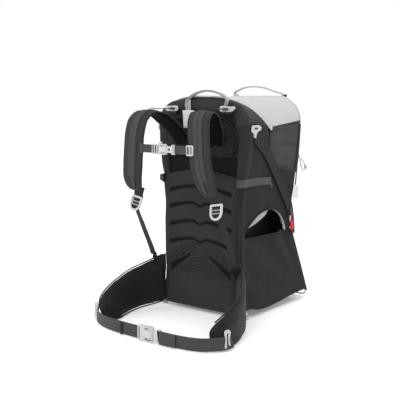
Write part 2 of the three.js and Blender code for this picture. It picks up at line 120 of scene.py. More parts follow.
# ---------------------------------------------------------------- materials
class Paint:
    """A principled material with a few procedural layers."""

    def __init__(self, name, roughness=0.8, metallic=0.0, sheen=0.0, shine=0.5):
        self.material = bpy.data.materials.new(name)
        self.material.use_nodes = True
        self.tree = self.material.node_tree
        self.shader = self.tree.nodes["Principled BSDF"]
        self.shader.inputs["Roughness"].default_value = roughness
        self.shader.inputs["Metallic"].default_value = metallic
        self.shader.inputs["Sheen Weight"].default_value = sheen
        self.shader.inputs["Sheen Roughness"].default_value = 0.5
        self.shader.inputs["Specular IOR Level"].default_value = shine
        self.where = self.tree.nodes.new("ShaderNodeTexCoord")
        self.bumps = []

    def node(self, kind, **values):
        made = self.tree.nodes.new(kind)
        for key, value in values.items():
            if key in made.inputs:
                made.inputs[key].default_value = value
            else:
                setattr(made, key, value)
        return made

    def link(self, out, into):
        self.tree.links.new(out, into)
        return into

    def math(self, operation, first, second):
        made = self.node("ShaderNodeMath", operation=operation)
        for slot, value in zip(made.inputs, (first, second)):
            if isinstance(value, (int, float)):
                slot.default_value = value
            else:
                self.link(value, slot)
        return made.outputs[0]

    def noise(self, size, detail=3.0, roughness=0.55, stretch=None):
        """Noise with lumps about size millimetres across."""
        made = self.node("ShaderNodeTexNoise", Scale=1 / (size * MM), Detail=detail, Roughness=roughness)
        spot = self.where.outputs["Object"]
        if stretch:
            mapping = self.node("ShaderNodeMapping", vector_type="POINT")
            mapping.inputs["Scale"].default_value = stretch
            self.link(spot, mapping.inputs["Vector"])
            spot = mapping.outputs["Vector"]
        self.link(spot, made.inputs["Vector"])
        return made.outputs["Fac"]

    def wave(self, pitch, direction, source="UV"):
        made = self.node("ShaderNodeTexWave", Scale=math.pi / 10 / (pitch * MM), bands_direction=direction)
        self.link(self.where.outputs[source], made.inputs["Vector"])
        return made.outputs["Fac"]

    def cells(self, size, regular=0.85):
        made = self.node("ShaderNodeTexVoronoi", Scale=1 / (size * MM), Randomness=1 - regular)
        self.link(self.where.outputs["Object"], made.inputs["Vector"])
        return made.outputs["Distance"]

    def colours(self, factor, first, second):
        mix = self.node("ShaderNodeMix", data_type="RGBA")
        self.link(factor, mix.inputs[0])
        for slot, value in ((6, first), (7, second)):
            if isinstance(value, tuple):
                mix.inputs[slot].default_value = (*value, 1)
            else:
                self.link(value, mix.inputs[slot])
        return mix.outputs[2]

    def base(self, colour):
        self.link(colour, self.shader.inputs["Base Color"])

    def bump(self, height, depth, strength=0.6):
        made = self.node("ShaderNodeBump", Strength=strength, Distance=depth * MM)
        self.link(height, made.inputs["Height"])
        if self.bumps:
            self.link(self.bumps[-1], made.inputs["Normal"])
        self.bumps.append(made.outputs["Normal"])
        self.link(made.outputs["Normal"], self.shader.inputs["Normal"])


def shade(colour, amount):
    return tuple(min(1.0, c * amount) for c in colour)


def packcloth(
    name, colour, pitch=1.3, folds=1.0, roughness=0.78, sheen=0.04, contrast=0.22, rip=0, shine=0.22
):
    """Plain weave with faint blotches and soft creases; rip adds a ripstop grid of that pitch."""
    paint = Paint(name, roughness, sheen=sheen, shine=shine)
    weave = paint.math("MULTIPLY", paint.wave(pitch, "X"), paint.wave(pitch, "Y"))
    blotch = paint.colours(paint.noise(55), shade(colour, 1 - contrast), shade(colour, 1 + contrast))
    tone = paint.colours(weave, shade(colour, 0.72), blotch)
    if rip:
        lines = paint.math("MAXIMUM", paint.wave(rip, "X"), paint.wave(rip, "Y"))
        ridge = paint.math("POWER", lines, 14)
        tone = paint.colours(ridge, tone, shade(colour, 1.14))
        paint.bump(ridge, 0.25, 0.5)
    paint.base(tone)
    paint.bump(paint.noise(38, 4, 0.6, (1, 1, 0.55)), 5 * folds, 0.55)
    paint.bump(paint.noise(9, 3), 0.8 * folds, 0.35)
    paint.bump(weave, 0.35, 0.55)
    return paint.material


def webbing_weave(name, colour, rib=1.7, roughness=0.6):
    """Ribbed polyester webbing: ribs across the length and fine warp threads along it."""
    paint = Paint(name, roughness, sheen=0.04, shine=0.25)
    ribs = paint.wave(rib, "Y")
    warp = paint.wave(rib * 0.55, "X")
    cloth = paint.math("MULTIPLY", ribs, paint.math("ADD", paint.math("MULTIPLY", warp, 0.5), 0.5))
    blotch = paint.colours(paint.noise(30), shade(colour, 0.9), shade(colour, 1.2))
    tone = paint.colours(cloth, shade(colour, 0.6), blotch)
    paint.base(tone)
    paint.bump(cloth, 0.5, 0.7)
    return paint.material


def air_mesh(name, colour, size=3.4, depth=0.9, hole=0.45):
    """Knitted spacer mesh: a net of small round holes whose dark colour is partly the ground seen through
    them and partly painted shade inside them.
    """
    paint = Paint(name, 0.9, sheen=0.03, shine=0.15)
    net = paint.node("ShaderNodeMapRange", interpolation_type="SMOOTHSTEP")
    net.inputs["From Min"].default_value = 0.12
    net.inputs["From Max"].default_value = hole
    paint.link(paint.cells(size), net.inputs["Value"])
    blotch = paint.colours(paint.noise(45), shade(colour, 0.85), shade(colour, 1.15))
    # holes at 35 per cent of the mesh colour: the ground beneath plus painted shade in the holes
    paint.base(paint.colours(net.outputs[0], shade(colour, 0.35), blotch))
    paint.bump(net.outputs[0], depth, 0.7)
    paint.bump(paint.noise(0.9, 2), 0.25, 0.5)
    return paint.material


def moulded(name, colour, roughness=0.42, grain=0.12):
    """Moulded nylon with a fine spark-eroded grain and slightly uneven gloss."""
    paint = Paint(name, roughness)
    worn = paint.noise(14, 5, 0.65)
    paint.base(paint.colours(worn, shade(colour, 0.93), shade(colour, 1.05)))
    gloss = paint.node("ShaderNodeMapRange")
    gloss.inputs["To Min"].default_value = roughness - 0.08
    gloss.inputs["To Max"].default_value = roughness + 0.12
    paint.link(worn, gloss.inputs["Value"])
    paint.link(gloss.outputs[0], paint.shader.inputs["Roughness"])
    paint.bump(paint.noise(0.8, 2), grain, 0.5)
    return paint.material


def metal(name, colour, roughness=0.28):
    """Drawn tube: fine scratches and soft marks."""
    paint = Paint(name, roughness, metallic=1.0)
    marks = paint.noise(6, 6, 0.7)
    paint.base(paint.colours(marks, shade(colour, 0.82), colour))
    gloss = paint.node("ShaderNodeMapRange")
    gloss.inputs["To Min"].default_value = roughness - 0.08
    gloss.inputs["To Max"].default_value = roughness + 0.2
    paint.link(paint.noise(2.0, 4), gloss.inputs["Value"])
    paint.link(gloss.outputs[0], paint.shader.inputs["Roughness"])
    paint.bump(paint.noise(0.6, 2), 0.03, 0.4)
    return paint.material


CHARCOAL = packcloth("charcoal_cloth", (0.0115, 0.0120, 0.0129))
SLEEVE = packcloth("sleeve_cloth", (0.0206, 0.0211, 0.0224), folds=0.5)
ROOF_DARK = packcloth("cover_cloth", (0.034, 0.034, 0.035), folds=0.5)
LINING = packcloth("lining_cloth", (0.0046, 0.0053, 0.0072), pitch=1.0, folds=0.5, roughness=0.7)
# strap back half: a darker copy of the lining colour, painted shade
STRAP_UNDERSIDE_SHADE = packcloth("strap_underside_shade", (0.0026, 0.0029, 0.0040), pitch=1.0, folds=0.5, sheen=0.0, shine=0.06)
YOKE_CLOTH = packcloth("yoke_cloth", (0.0042, 0.0046, 0.0060), pitch=1.0, folds=0.4, sheen=0.0, shine=0.1)
STRAP_FACE = packcloth("strap_cloth", (0.0289, 0.0287, 0.0285), folds=0.25)
STRAP_BAND = packcloth("strap_band", (0.050, 0.0495, 0.049), pitch=1.8, folds=0.1)
BINDING = webbing_weave("binding", (0.0125, 0.0126, 0.0132), rib=1.1)
CANOPY = packcloth(
    "canopy_cloth", (0.53, 0.53, 0.535), pitch=0.9, folds=0.45, contrast=0.03, sheen=0.1, rip=7
)
PALE_LINING = packcloth("pale_lining", (0.42, 0.42, 0.425), pitch=1.0, folds=0.6, contrast=0.1)
PALE_WEB = webbing_weave("pale_webbing", (0.56, 0.56, 0.565), rib=1.6)
PALE_PIPING = webbing_weave("pale_piping", (0.72, 0.72, 0.73), rib=1.3)
WEBBING = webbing_weave("webbing", (0.0493, 0.0493, 0.0510))
DARK_WEB = webbing_weave("dark_webbing", (0.014, 0.014, 0.015))
ELASTIC = webbing_weave("elastic", (0.0651, 0.0651, 0.0670), rib=2.4)
PANEL_MESH = air_mesh("panel_mesh", (0.0264, 0.0261, 0.0257))
# vent slot mesh: its near-black colour is painted shade for the deep slots
SLOT_SHADE_MESH = air_mesh("slot_shade_mesh", (0.0055, 0.0055, 0.0052), size=4.2)
# near-black net for the gap below the upper panel: its colour is painted shade
GAP_SHADE_MESH = air_mesh("gap_shade_mesh", (0.0035, 0.0042, 0.0038), size=2.6, depth=0.4)
WINDOW_MESH = air_mesh("window_mesh", (0.0468, 0.0468, 0.0486), size=2.2, depth=0.3)
PLASTIC = moulded("pale_plastic", (0.46, 0.465, 0.47))
GREY_PLASTIC = moulded("grey_plastic", (0.28, 0.285, 0.29))
DARK_PLASTIC = moulded("dark_plastic", (0.016, 0.016, 0.018))
TUBE = metal("satin_tube", (0.62, 0.63, 0.65))
RED = webbing_weave("red_webbing", (0.78, 0.010, 0.018), rib=1.6)
THREAD = webbing_weave("thread", (0.075, 0.075, 0.077), rib=0.5)
WHITE_TAG = packcloth("blank_tag", (0.80, 0.80, 0.80), pitch=0.6, folds=0.3, contrast=0.02)
ZIP_TEETH = moulded("zip_teeth", (0.02, 0.02, 0.022), 0.3)


# ---------------------------------------------------------------- curves and meshes
def run_length(path):
    """How far along a path each of its points lies."""
    return np.r_[0, np.cumsum(np.linalg.norm(np.diff(path, axis=0), axis=1))]


def spline(points, count):
    """Evenly spaced points on a smooth curve through the given ones."""
    p = np.asarray(points, float)
    s = run_length(p)
    slope = np.gradient(p, s, axis=0)
    at = np.linspace(0, s[-1], count)
    i = np.clip(np.searchsorted(s, at, side="right") - 1, 0, len(s) - 2)
    h = (s[i + 1] - s[i])[:, None]
    t = ((at - s[i])[:, None]) / h
    near = (2 * t**3 - 3 * t**2 + 1) * p[i] + (t**3 - 2 * t**2 + t) * h * slope[i]
    return near + (-2 * t**3 + 3 * t**2) * p[i + 1] + (t**3 - t**2) * h * slope[i + 1]


def flat_curve(points, count):
    """The same kind of curve through points in a plane."""
    return spline([(a, 0, b) for a, b in points], count)[:, [0, 2]]


def closed_curve(points, count):
    """A loop through points in a plane, back to the first of them."""
    return flat_curve(points + points[:1], count)[:-1]


def mirrored_outline(half, count):
    """A whole outline from its right half, given from the middle at the bottom to the middle at the top."""
    line = flat_curve(half, count)
    return np.vstack([line, line[-2:0:-1] * (-1, 1)])


def bell(value, centre, width):
    """One smooth bump of height 1 round a centre."""
    return np.exp(-(((value - centre) / width) ** 2))


def unit(v):
    v = np.asarray(v, float)
    return v / np.maximum(np.linalg.norm(v, axis=-1, keepdims=True), 1e-9)


def mirror(points):
    return np.asarray(points, float) * (-1, 1, 1)


def arch(half, count):
    """A whole arch from its right half, given from the foot up to the crown."""
    half = np.asarray(half, float)
    other = half.copy()
    other[:, 0] *= -1
    return spline(np.vstack([other, half[-2::-1]]), count)


def smooth(value, low, high):
    t = np.clip((np.asarray(value, float) - low) / (high - low), 0, 1)
    return t * t * (3 - 2 * t)


def lumps(x, y, size, seed):
    """Smooth made-up waves, from -1 to 1, used for creases."""
    rng = np.random.default_rng(seed)
    total = 0
    for _ in range(7):
        turn, phase, stretch = rng.uniform(0, math.pi), rng.uniform(0, 6.28), rng.uniform(0.7, 1.6)
        total = total + np.sin((x * math.cos(turn) + y * math.sin(turn)) / (size * stretch) * 6.28 + phase)
    return total / 7


def build(name, points, faces, materials, uv=None, body="root", replaces=(), slot=None, face_slots=None):
    mesh = bpy.data.meshes.new(name)
    mesh.from_pydata(metres(points).tolist(), [], [tuple(int(i) for i in f) for f in faces])
    for material in materials if isinstance(materials, (list, tuple)) else [materials]:
        mesh.materials.append(material)
    mesh.polygons.foreach_set("use_smooth", [True] * len(mesh.polygons))
    if face_slots is not None:
        mesh.polygons.foreach_set("material_index", [int(i) for i in face_slots])
    if uv is not None:
        layer = mesh.uv_layers.new(name="UVMap")
        layer.data.foreach_set("uv", (np.asarray(uv, float) * MM).ravel())
    shape = bmesh.new()
    shape.from_mesh(mesh)
    bmesh.ops.recalc_face_normals(shape, faces=shape.faces)
    shape.to_mesh(mesh)
    shape.free()
    mesh.update()
    piece = bpy.data.objects.new(name, mesh)
    bpy.context.scene.collection.objects.link(piece)
    finish_piece(piece, body, replaces, slot)
    return piece


def finish_piece(piece, body, replaces=(), slot=None):
    if body:
        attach(piece, body)
    if replaces:
        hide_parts(*([replaces] if isinstance(replaces, str) else replaces))


def modifier(piece, kind, **values):
    made = piece.modifiers.new(kind.lower(), kind)
    for key, value in values.items():
        setattr(made, key, value)
    return piece


def thicken(piece, thickness, offset=0.0, subdivide=0):
    modifier(piece, "SOLIDIFY", thickness=thickness * MM, offset=offset)
    if subdivide:
        modifier(piece, "SUBSURF", levels=subdivide, render_levels=subdivide)
    return piece


def grid(name, points, materials, wrap=False, flip=False, caps=False, face_slots=None, **options):
    """A surface through rows of points; wrap closes each row and caps close both ends."""
    p = np.asarray(points, float)
    rows, cols = p.shape[:2]
    across = np.linalg.norm(np.diff(p, axis=1, append=p[:, :1]), axis=2)
    u = np.concatenate([np.zeros((rows, 1)), np.cumsum(across, axis=1)], axis=1)
    v = np.r_[0, np.cumsum(np.linalg.norm(np.diff(p, axis=0), axis=2).mean(axis=1))]
    faces, uv, kinds = [], [], []
    last = cols if wrap else cols - 1
    for i in range(rows - 1):
        for j in range(last):
            k = (j + 1) % cols
            corners = [(i, j, j), (i, k, j + 1), (i + 1, k, j + 1), (i + 1, j, j)]
            if flip:
                corners.reverse()
            faces.append([r * cols + c for r, c, _ in corners])
            uv.extend((u[r, at], v[r]) for r, _, at in corners)
            if face_slots is not None:
                kinds.append(face_slots[i][j])
    if caps:
        for row, turn in ((0, not flip), (rows - 1, flip)):
            ring = [row * cols + j for j in range(cols)]
            ring = ring[::-1] if turn else ring
            faces.append(ring)
            uv.extend((p[row, j % cols, 0], p[row, j % cols, 2]) for j in [r % cols for r in ring])
            kinds.append(0)
    kinds = kinds if face_slots is not None else None
    return build(name, p.reshape(-1, 3), faces, materials, uv, face_slots=kinds, **options)


def frames_along(path, face):
    """Unit tangent, across and outward directions at each point of a path whose front looks along face."""
    tangent = unit(np.gradient(path, axis=0))
    face = np.broadcast_to(np.asarray(face, float), path.shape)
    across = unit(np.cross(tangent, face))
    return tangent, across, np.cross(across, tangent)


def sweep(name, path, face, section, material, size=None, **options):
    """Pushes a closed outline of (across, out) points along a path."""
    path = np.asarray(path, float)
    _, across, out = frames_along(path, face)
    section = np.asarray(section, float)
    size = np.ones((len(path), 2)) if size is None else np.asarray(size, float)
    rings = (
        path[:, None]
        + across[:, None] * (section[None, :, :1] * size[:, None, :1])
        + out[:, None] * (section[None, :, 1:] * size[:, None, 1:])
    )
    return grid(name, rings, material, wrap=True, caps=True, flip=True, **options)


def round_section(radius, sides=10):
    turn = np.linspace(0, 2 * math.pi, sides, endpoint=False)
    return np.c_[radius * np.cos(turn), radius * np.sin(turn)]


def web_section(width, thickness):
    """Flat webbing with soft edges and slightly thicker selvedges."""
    w, t = width / 2, thickness / 2
    top = [(-w, 0.35 * t), (-w + t, t), (-w + 3 * t, 1.12 * t), (-w + 5 * t, t), (0, t)]
    top += [(-x, y) for x, y in top[-2::-1]]
    return top + [(x, -y) for x, y in top[::-1]]


def safe_face(path):
    """A face direction that never lines up with a path."""
    tangent = unit(np.gradient(np.asarray(path, float), axis=0))
    spread = np.abs(tangent).max(axis=0)
    return np.eye(3)[int(np.argmin(spread))]


def cord(name, points, radius, material, count=60, sides=10, **options):
    path = spline(points, count)
    return sweep(name, path, safe_face(path), round_section(radius, sides), material, **options)


def webbing(name, points, face, width, thickness, material, count=40, **options):
    return sweep(name, spline(points, count), face, web_section(width, thickness), material, **options)


def stitches(name, points, face, body="root", pitch=4.5, length=3.0, width=0.75, lift=0.2, material=None):
    """A row of thread dashes that lie on a surface along a path."""
    path = np.asarray(points, float)
    run = run_length(path)
    _, across, out = frames_along(path, face)
    at = np.arange(pitch / 2, run[-1] - pitch / 2, pitch)
    verts, faces = [], []
    for s in at:
        ring = []
        for end, bulge in ((-0.5, 0.25), (-0.25, 1), (0.25, 1), (0.5, 0.25)):
            spot = np.array([np.interp(s + end * length, run, path[:, k]) for k in range(3)])
            side = np.array([np.interp(s, run, across[:, k]) for k in range(3)]) * width / 2
            up = np.array([np.interp(s, run, out[:, k]) for k in range(3)])
            ring.append([spot - side * bulge, spot + up * (lift + 0.35 * bulge), spot + side * bulge])
        start = len(verts)
        verts.extend(p for three in ring for p in three)
        for i in range(3):
            a = start + 3 * i
            faces += [(a, a + 3, a + 4, a + 1), (a + 1, a + 4, a + 5, a + 2), (a + 2, a + 5, a + 3, a)]
        faces += [(start, start + 1, start + 2), (start + 11, start + 10, start + 9)]
    return build(name, verts, faces, material or THREAD, body=body)


def patch(name, outline, spacing, place, material, **options):
    """A cloth patch: fills a closed 2-D outline with triangles and lays them out with place(u, v)."""
    outline = np.asarray(outline, float)
    low, high = outline.min(axis=0) + spacing / 2, outline.max(axis=0)
    shift = np.arange(low[0], high[0], spacing)
    inner = []
    for row, v in enumerate(np.arange(low[1], high[1], spacing * 0.87)):
        inner += [(u + (row % 2) * spacing / 2, v) for u in shift]
    inner = np.array(inner)
    a, b = outline, np.roll(outline, -1, axis=0)
    crosses = (a[:, None, 1] > inner[None, :, 1]) != (b[:, None, 1] > inner[None, :, 1])
    rise = np.where(np.abs(b - a)[:, 1] < 1e-9, 1e-9, (b - a)[:, 1])
    hit = a[:, None, 0] + (inner[None, :, 1] - a[:, None, 1]) / rise[:, None] * (b - a)[:, None, 0]
    inside = ((crosses & (inner[None, :, 0] < hit)).sum(axis=0) % 2).astype(bool)
    span = b - a
    t = ((inner[None] - a[:, None]) * span[:, None]).sum(axis=2) / (span**2).sum(axis=1)[:, None]
    nearest = a[:, None] + np.clip(t, 0, 1)[:, :, None] * span[:, None]
    clear = np.linalg.norm(inner[None] - nearest, axis=2).min(axis=0) > 0.55 * spacing
    inner = inner[inside & clear]
    points = [Vector(p) for p in np.vstack([outline, inner])]
    edges = [(i, (i + 1) % len(outline)) for i in range(len(outline))]
    flat, _, faces, *_ = delaunay_2d_cdt(points, edges, [], 1, 1e-6)
    flat = np.array([tuple(p) for p in flat])
    uv = [flat[i] for face in faces for i in face]
    return build(name, place(flat[:, 0], flat[:, 1]), faces, material, uv, **options)


def densify(corners, step=8.0, closed=True):
    """Straight runs between corners, cut into short steps."""
    corners = np.asarray(corners, float)
    pairs = zip(corners, np.roll(corners, -1, axis=0)) if closed else zip(corners[:-1], corners[1:])
    out = []
    for a, b in pairs:
        steps = max(1, int(np.linalg.norm(b - a) / step))
        out += [a + (b - a) * k / steps for k in range(steps)]
    if not closed:
        out.append(corners[-1])
    return np.array(out)


def plate(name, loops, thickness, edge, origin, right, up, material, body="root", **options):
    """A moulded plate: an outline with holes, in a plane through origin, with rounded edges."""
    curve = bpy.data.curves.new(name, "CURVE")
    curve.dimensions = "2D"
    curve.fill_mode = "BOTH"
    curve.extrude = (thickness / 2 - edge) * MM
    curve.bevel_depth = edge * MM
    curve.bevel_resolution = 2
    curve.offset = -edge * MM
    for loop in loops:
        line = curve.splines.new("POLY")
        line.points.add(len(loop) - 1)
        for point, (x, y) in zip(line.points, loop):
            point.co = (x * MM, y * MM, 0, 1)
        line.use_cyclic_u = True
    holder = bpy.data.objects.new(name + "_curve", curve)
    bpy.context.scene.collection.objects.link(holder)
    right, up = unit(right), unit(up)
    out = np.cross(right, up)
    spot = metres([origin])[0]
    turn = Matrix([(*row, at) for row, at in zip(np.c_[right, up, out], spot)] + [(0, 0, 0, 1)])
    mesh = bpy.data.meshes.new_from_object(holder.evaluated_get(bpy.context.evaluated_depsgraph_get()))
    bpy.data.objects.remove(holder)
    mesh.transform(turn)
    mesh.materials.clear()
    mesh.materials.append(material)
    mesh.polygons.foreach_set("use_smooth", [True] * len(mesh.polygons))
    piece = bpy.data.objects.new(name, mesh)
    bpy.context.scene.collection.objects.link(piece)
    modifier(piece, "WELD", merge_threshold=0.00001)
    modifier(piece, "EDGE_SPLIT", split_angle=math.radians(50))
    finish_piece(piece, body, **options)
    return piece


def rounded(width, height, radius, steps=5, centre=(0, 0)):
    """A rectangle's outline with round corners."""
    out = []
    for k, (sx, sy) in enumerate(((1, 1), (-1, 1), (-1, -1), (1, -1))):
        for turn in np.linspace(0, math.pi / 2, steps) + k * math.pi / 2:
            x = sx * (width / 2 - radius) + radius * math.cos(turn)
            y = sy * (height / 2 - radius) + radius * math.sin(turn)
            out.append((centre[0] + x, centre[1] + y))
    return out


def area_of(piece):
    return sum(polygon.area for polygon in piece.data.polygons)


def declare_sheet(piece, width, length):
    area = area_of(piece)
    flat = (width * MM, length * MM)
    if area > flat[0] * flat[1]:
        flat = (flat[0], area / flat[0] * 1.001)


def inflate(piece, voxel=5.0, pressure=4.0, cap=8.0, stiffness=8.0):
    """Swells a closed cloth form under air pressure, as foam fills its cover, then keeps the result."""
    modifier(piece, "REMESH", mode="VOXEL", voxel_size=voxel * MM)
    depsgraph = bpy.context.evaluated_depsgraph_get()
    mesh = bpy.data.meshes.new_from_object(piece.evaluated_get(depsgraph))
    piece.modifiers.clear()
    material = piece.data.materials[0]
    piece.data = mesh
    mesh.materials.clear()
    mesh.materials.append(material)
    rest = np.array([v.co for v in mesh.vertices])
    made = piece.modifiers.new("cloth", "CLOTH")
    made.settings.use_pressure = True
    made.settings.uniform_pressure_force = pressure
    made.settings.tension_stiffness = stiffness
    made.settings.compression_stiffness = stiffness
    made.settings.effector_weights.gravity = 0
    made.collision_settings.use_collision = False
    scene = bpy.context.scene
    for step in range(1, 21):
        scene.frame_set(step)
    swollen = piece.evaluated_get(bpy.context.evaluated_depsgraph_get()).data
    moved = np.array([v.co for v in swollen.vertices]) - rest
    piece.modifiers.clear()
    scene.frame_set(1)
    far = np.linalg.norm(moved, axis=1, keepdims=True)
    rest = rest + moved * np.minimum(1, cap * MM / np.maximum(far, 1e-9))
    mesh.vertices.foreach_set("co", rest.astype(np.float32).ravel())
    mesh.polygons.foreach_set("use_smooth", [True] * len(mesh.polygons))
    mesh.update()
    modifier(piece, "SUBSURF", levels=1, render_levels=1)
    return piece


def lathe(name, profile, origin, axis, material, sides=32, **options):
    """A turned piece: profile points are (radius, distance along the axis)."""
    profile = np.asarray(profile, float)
    axis = unit(axis)
    right = unit(np.cross(axis, (0.31, 0.86, 0.41)))
    up = np.cross(axis, right)
    turn = np.linspace(0, 2 * math.pi, sides, endpoint=False)
    ring = np.cos(turn)[:, None] * right + np.sin(turn)[:, None] * up
    rings = np.asarray(origin, float) + profile[:, 1, None, None] * axis + profile[:, 0, None, None] * ring
    return grid(name, rings, material, wrap=True, caps=True, **options)


# ---------------------------------------------------------------- the carrier's leading lines
HOOP = [
    (166, 12), (153, 44), (143, 90), (139, 160), (137, 250), (136, 340), (146, 430), (159, 500), (166, 560),
    (168, 605)
]
HOOP_TOP = [(165, 628), (156, 643), (131, 663), (77, 674), (0, 677)]
REAR = [(5, 372), (285, 256), (352, 262), (408, 273), (451, 278), (500, 287), (583, 297), (684, 298)]
FRONT_OUTER = [
    (0, 178), (30, 172), (60, 160), (100, 152), (200, 149), (286, 150), (330, 147), (380, 146.5),
    (431, 157), (472, 168), (533, 177), (570, 178), (608, 178)
]
SLEEVE_INNER = [(436, 129), (450, 134), (490, 138), (530, 137), (560, 133), (585, 128), (606, 128)]
PIVOT_Y, PIVOT_Z = 256, 285
FOOT_Y, FOOT_Z = 372, 8.5


def table(rows, value):
    rows = np.asarray(rows, float)
    return np.interp(value, rows[:, 0], rows[:, 1])


def hoop_x(z):
    return np.interp(z, [p[1] for p in HOOP], [p[0] for p in HOOP])


def rear_y(z):
    return table(REAR, z)


def rear_x(z):
    return table([(5, 172), (285, 158), (600, 169)], z)


def side_x(y, z):
    """Inner face of the side cloth, stretched from the main hoop to the rear edge."""
    share = np.clip((y - 8) / (rear_y(z) - 8), 0, 1.1)
    front = hoop_x(z) + 9
    return front + (rear_x(z) + 7 - front) * share


def kick_y(z):
    return FOOT_Y + (PIVOT_Y - FOOT_Y) * (np.asarray(z, float) - FOOT_Z) / (PIVOT_Z - FOOT_Z)


# ---------------------------------------------------------------- frame tubes, wire and feet
def build_frame():
    half = [(x, 8, z) for x, z in HOOP + HOOP_TOP]
    path = arch(half, 170)
    sweep("hoop_tube", path, TO_WEARER, round_section(7, 20), TUBE, replaces="main_hoop", slot="tube")
    for z, radius, node in ((60, 5, "lower_crossbar"), (290, 6, "waist_crossbar")):
        reach = float(hoop_x(z)) - 10
        bar = [(-reach, 8, z), (0, 8, z), (reach, 8, z)]
        cord(node + "_tube", bar, radius, TUBE, 30, 16, replaces=node, slot="tube")
    rear = [(float(rear_x(z)), float(rear_y(z)), z) for z in (303, 352, 408, 451, 500, 583)]
    rear += [
        (167, 298, 612), (164, 298, 628), (155, 298, 645), (135, 298, 665), (108, 298, 681), (60, 298, 684),
        (0, 298, 684)
    ]
    sweep(
        "rear_hoop_tube", arch(rear, 120), (0, 1, 0.02), round_section(5, 16), TUBE, replaces="rear_hoop",
        slot="tube"
    )
    kick = [
        (80, 373, 8.5), (135, 373, 8.5), (155, 372.5, 9), (164, 371.5, 13), (169, 366, 26),
        (170.5, float(kick_y(40)), 40)
    ]
    kick += [
        (169, float(kick_y(90)), 90), (165, float(kick_y(150)), 150), (161, float(kick_y(220)), 220),
        (158, 256, 285)
    ]
    right = spline(kick, 90)[::-1]
    wire = np.vstack([right, mirror(right)[::-1]])
    sweep(
        "kickstand_wire", wire, (0, -0.9, -0.4), round_section(3, 14), TUBE, body="kickstand",
        replaces="kickstand", slot="wire"
    )
    for side, label in SIDES:
        profile = [
            (8, 0), (9.4, 0.8), (10, 2.4), (10, 5), (9.2, 5.6), (9.2, 6.6), (10, 7.2), (9.6, 9), (8, 10.6),
            (6.5, 11.5)
        ]
        lathe(
            f"foot_{label}", profile, (side * 166, 8, 0), (0, 0, 1), PLASTIC,
            replaces=f"front_foot_{label}", slot="plastic"
        )
        rail = [(129, 17, 216), (140, 60, 212), (147, 140, 212), (149, 205, 224), (149, 234, 252)]
        rail = np.array(rail) * (side, 1, 1)
        cord(f"seat_rail_tube_{label}", rail, 5, TUBE, 50, 14, replaces=f"seat_rail_{label}", slot="tube")
        knob = [
            (3.6, -9), (6, -9), (7.6, -7.4), (8, -6), (8, -2), (7.4, -1.4), (7.4, 1.4), (8, 2), (8, 6),
            (7.6, 7.4), (6, 9), (3.6, 9)
        ]
        lathe(
            f"stand_knob_{label}", knob, (side * 112, 373, 8.5), (1, 0, 0), GREY_PLASTIC,
            body="kickstand", replaces=f"kickstand_foot_{label}", slot="grey_plastic",
        )
        hub = [
            (3, 0), (15, 0), (16, 1), (16, 10), (15, 12), (12.5, 13.5), (7, 13.5), (6.4, 12.6), (3, 12.6)
        ]
        lathe(
            f"hinge_hub_{label}", hub, (side * 141.5, PIVOT_Y, PIVOT_Z), (side, 0, 0), GREY_PLASTIC,
            replaces=f"hinge_bracket_{label}", slot="grey_plastic",
        )
        lathe(
            f"hinge_pin_{label}", [(1, 0), (5, 0), (5.4, 1), (4.4, 2.4), (1, 2.6)],
            (side * 155.2, PIVOT_Y, PIVOT_Z), (side, 0, 0), TUBE
        )


# ---------------------------------------------------------------- wearer's back panel
PANEL_HALF = [(12, 150), (110, 143), (184, 148), (286, 149), (350, 146), (430, 155)]
CHEVRONS = (390, 336, 277, 219)
CHEVRON_RISE = [(0, 11), (8, 12), (26, 21), (60, 17), (94, 9), (128, 0)]


def panel_half(z):
    """Half width of the back panel; its top comes in over the last 32 mm."""
    return np.where(
        z < 430, table(PANEL_HALF, z), table([(430, 155), (438, 146), (446, 126), (455, 84), (462, 40)], z)
    )


def segment_distance(x, z, a, b):
    a, b = np.array(a, float), np.array(b, float)
    span = b - a
    t = np.clip(((x - a[0]) * span[0] + (z - a[1]) * span[1]) / span.dot(span), 0, 1)
    return np.hypot(x - a[0] - t * span[0], z - a[1] - t * span[1])


def slot_depth(x, z):
    """Signed distance to the nearest vent slot, negative inside."""
    ax = np.abs(x)
    nearest = np.full(np.shape(x), 99.0)
    for base in CHEVRONS:
        off = np.abs(z - base - table(CHEVRON_RISE, ax)) - table([(0, 4.2), (30, 5.0), (120, 7.0)], ax)
        beyond = ax - 124
        nearest = np.minimum(nearest, np.maximum(off, beyond))
    lower = segment_distance(ax, z, (121, 134), (40, 186)) - table([(40, 3.4), (121, 12)], ax)
    return np.minimum(nearest, np.maximum(lower, ax - 125))


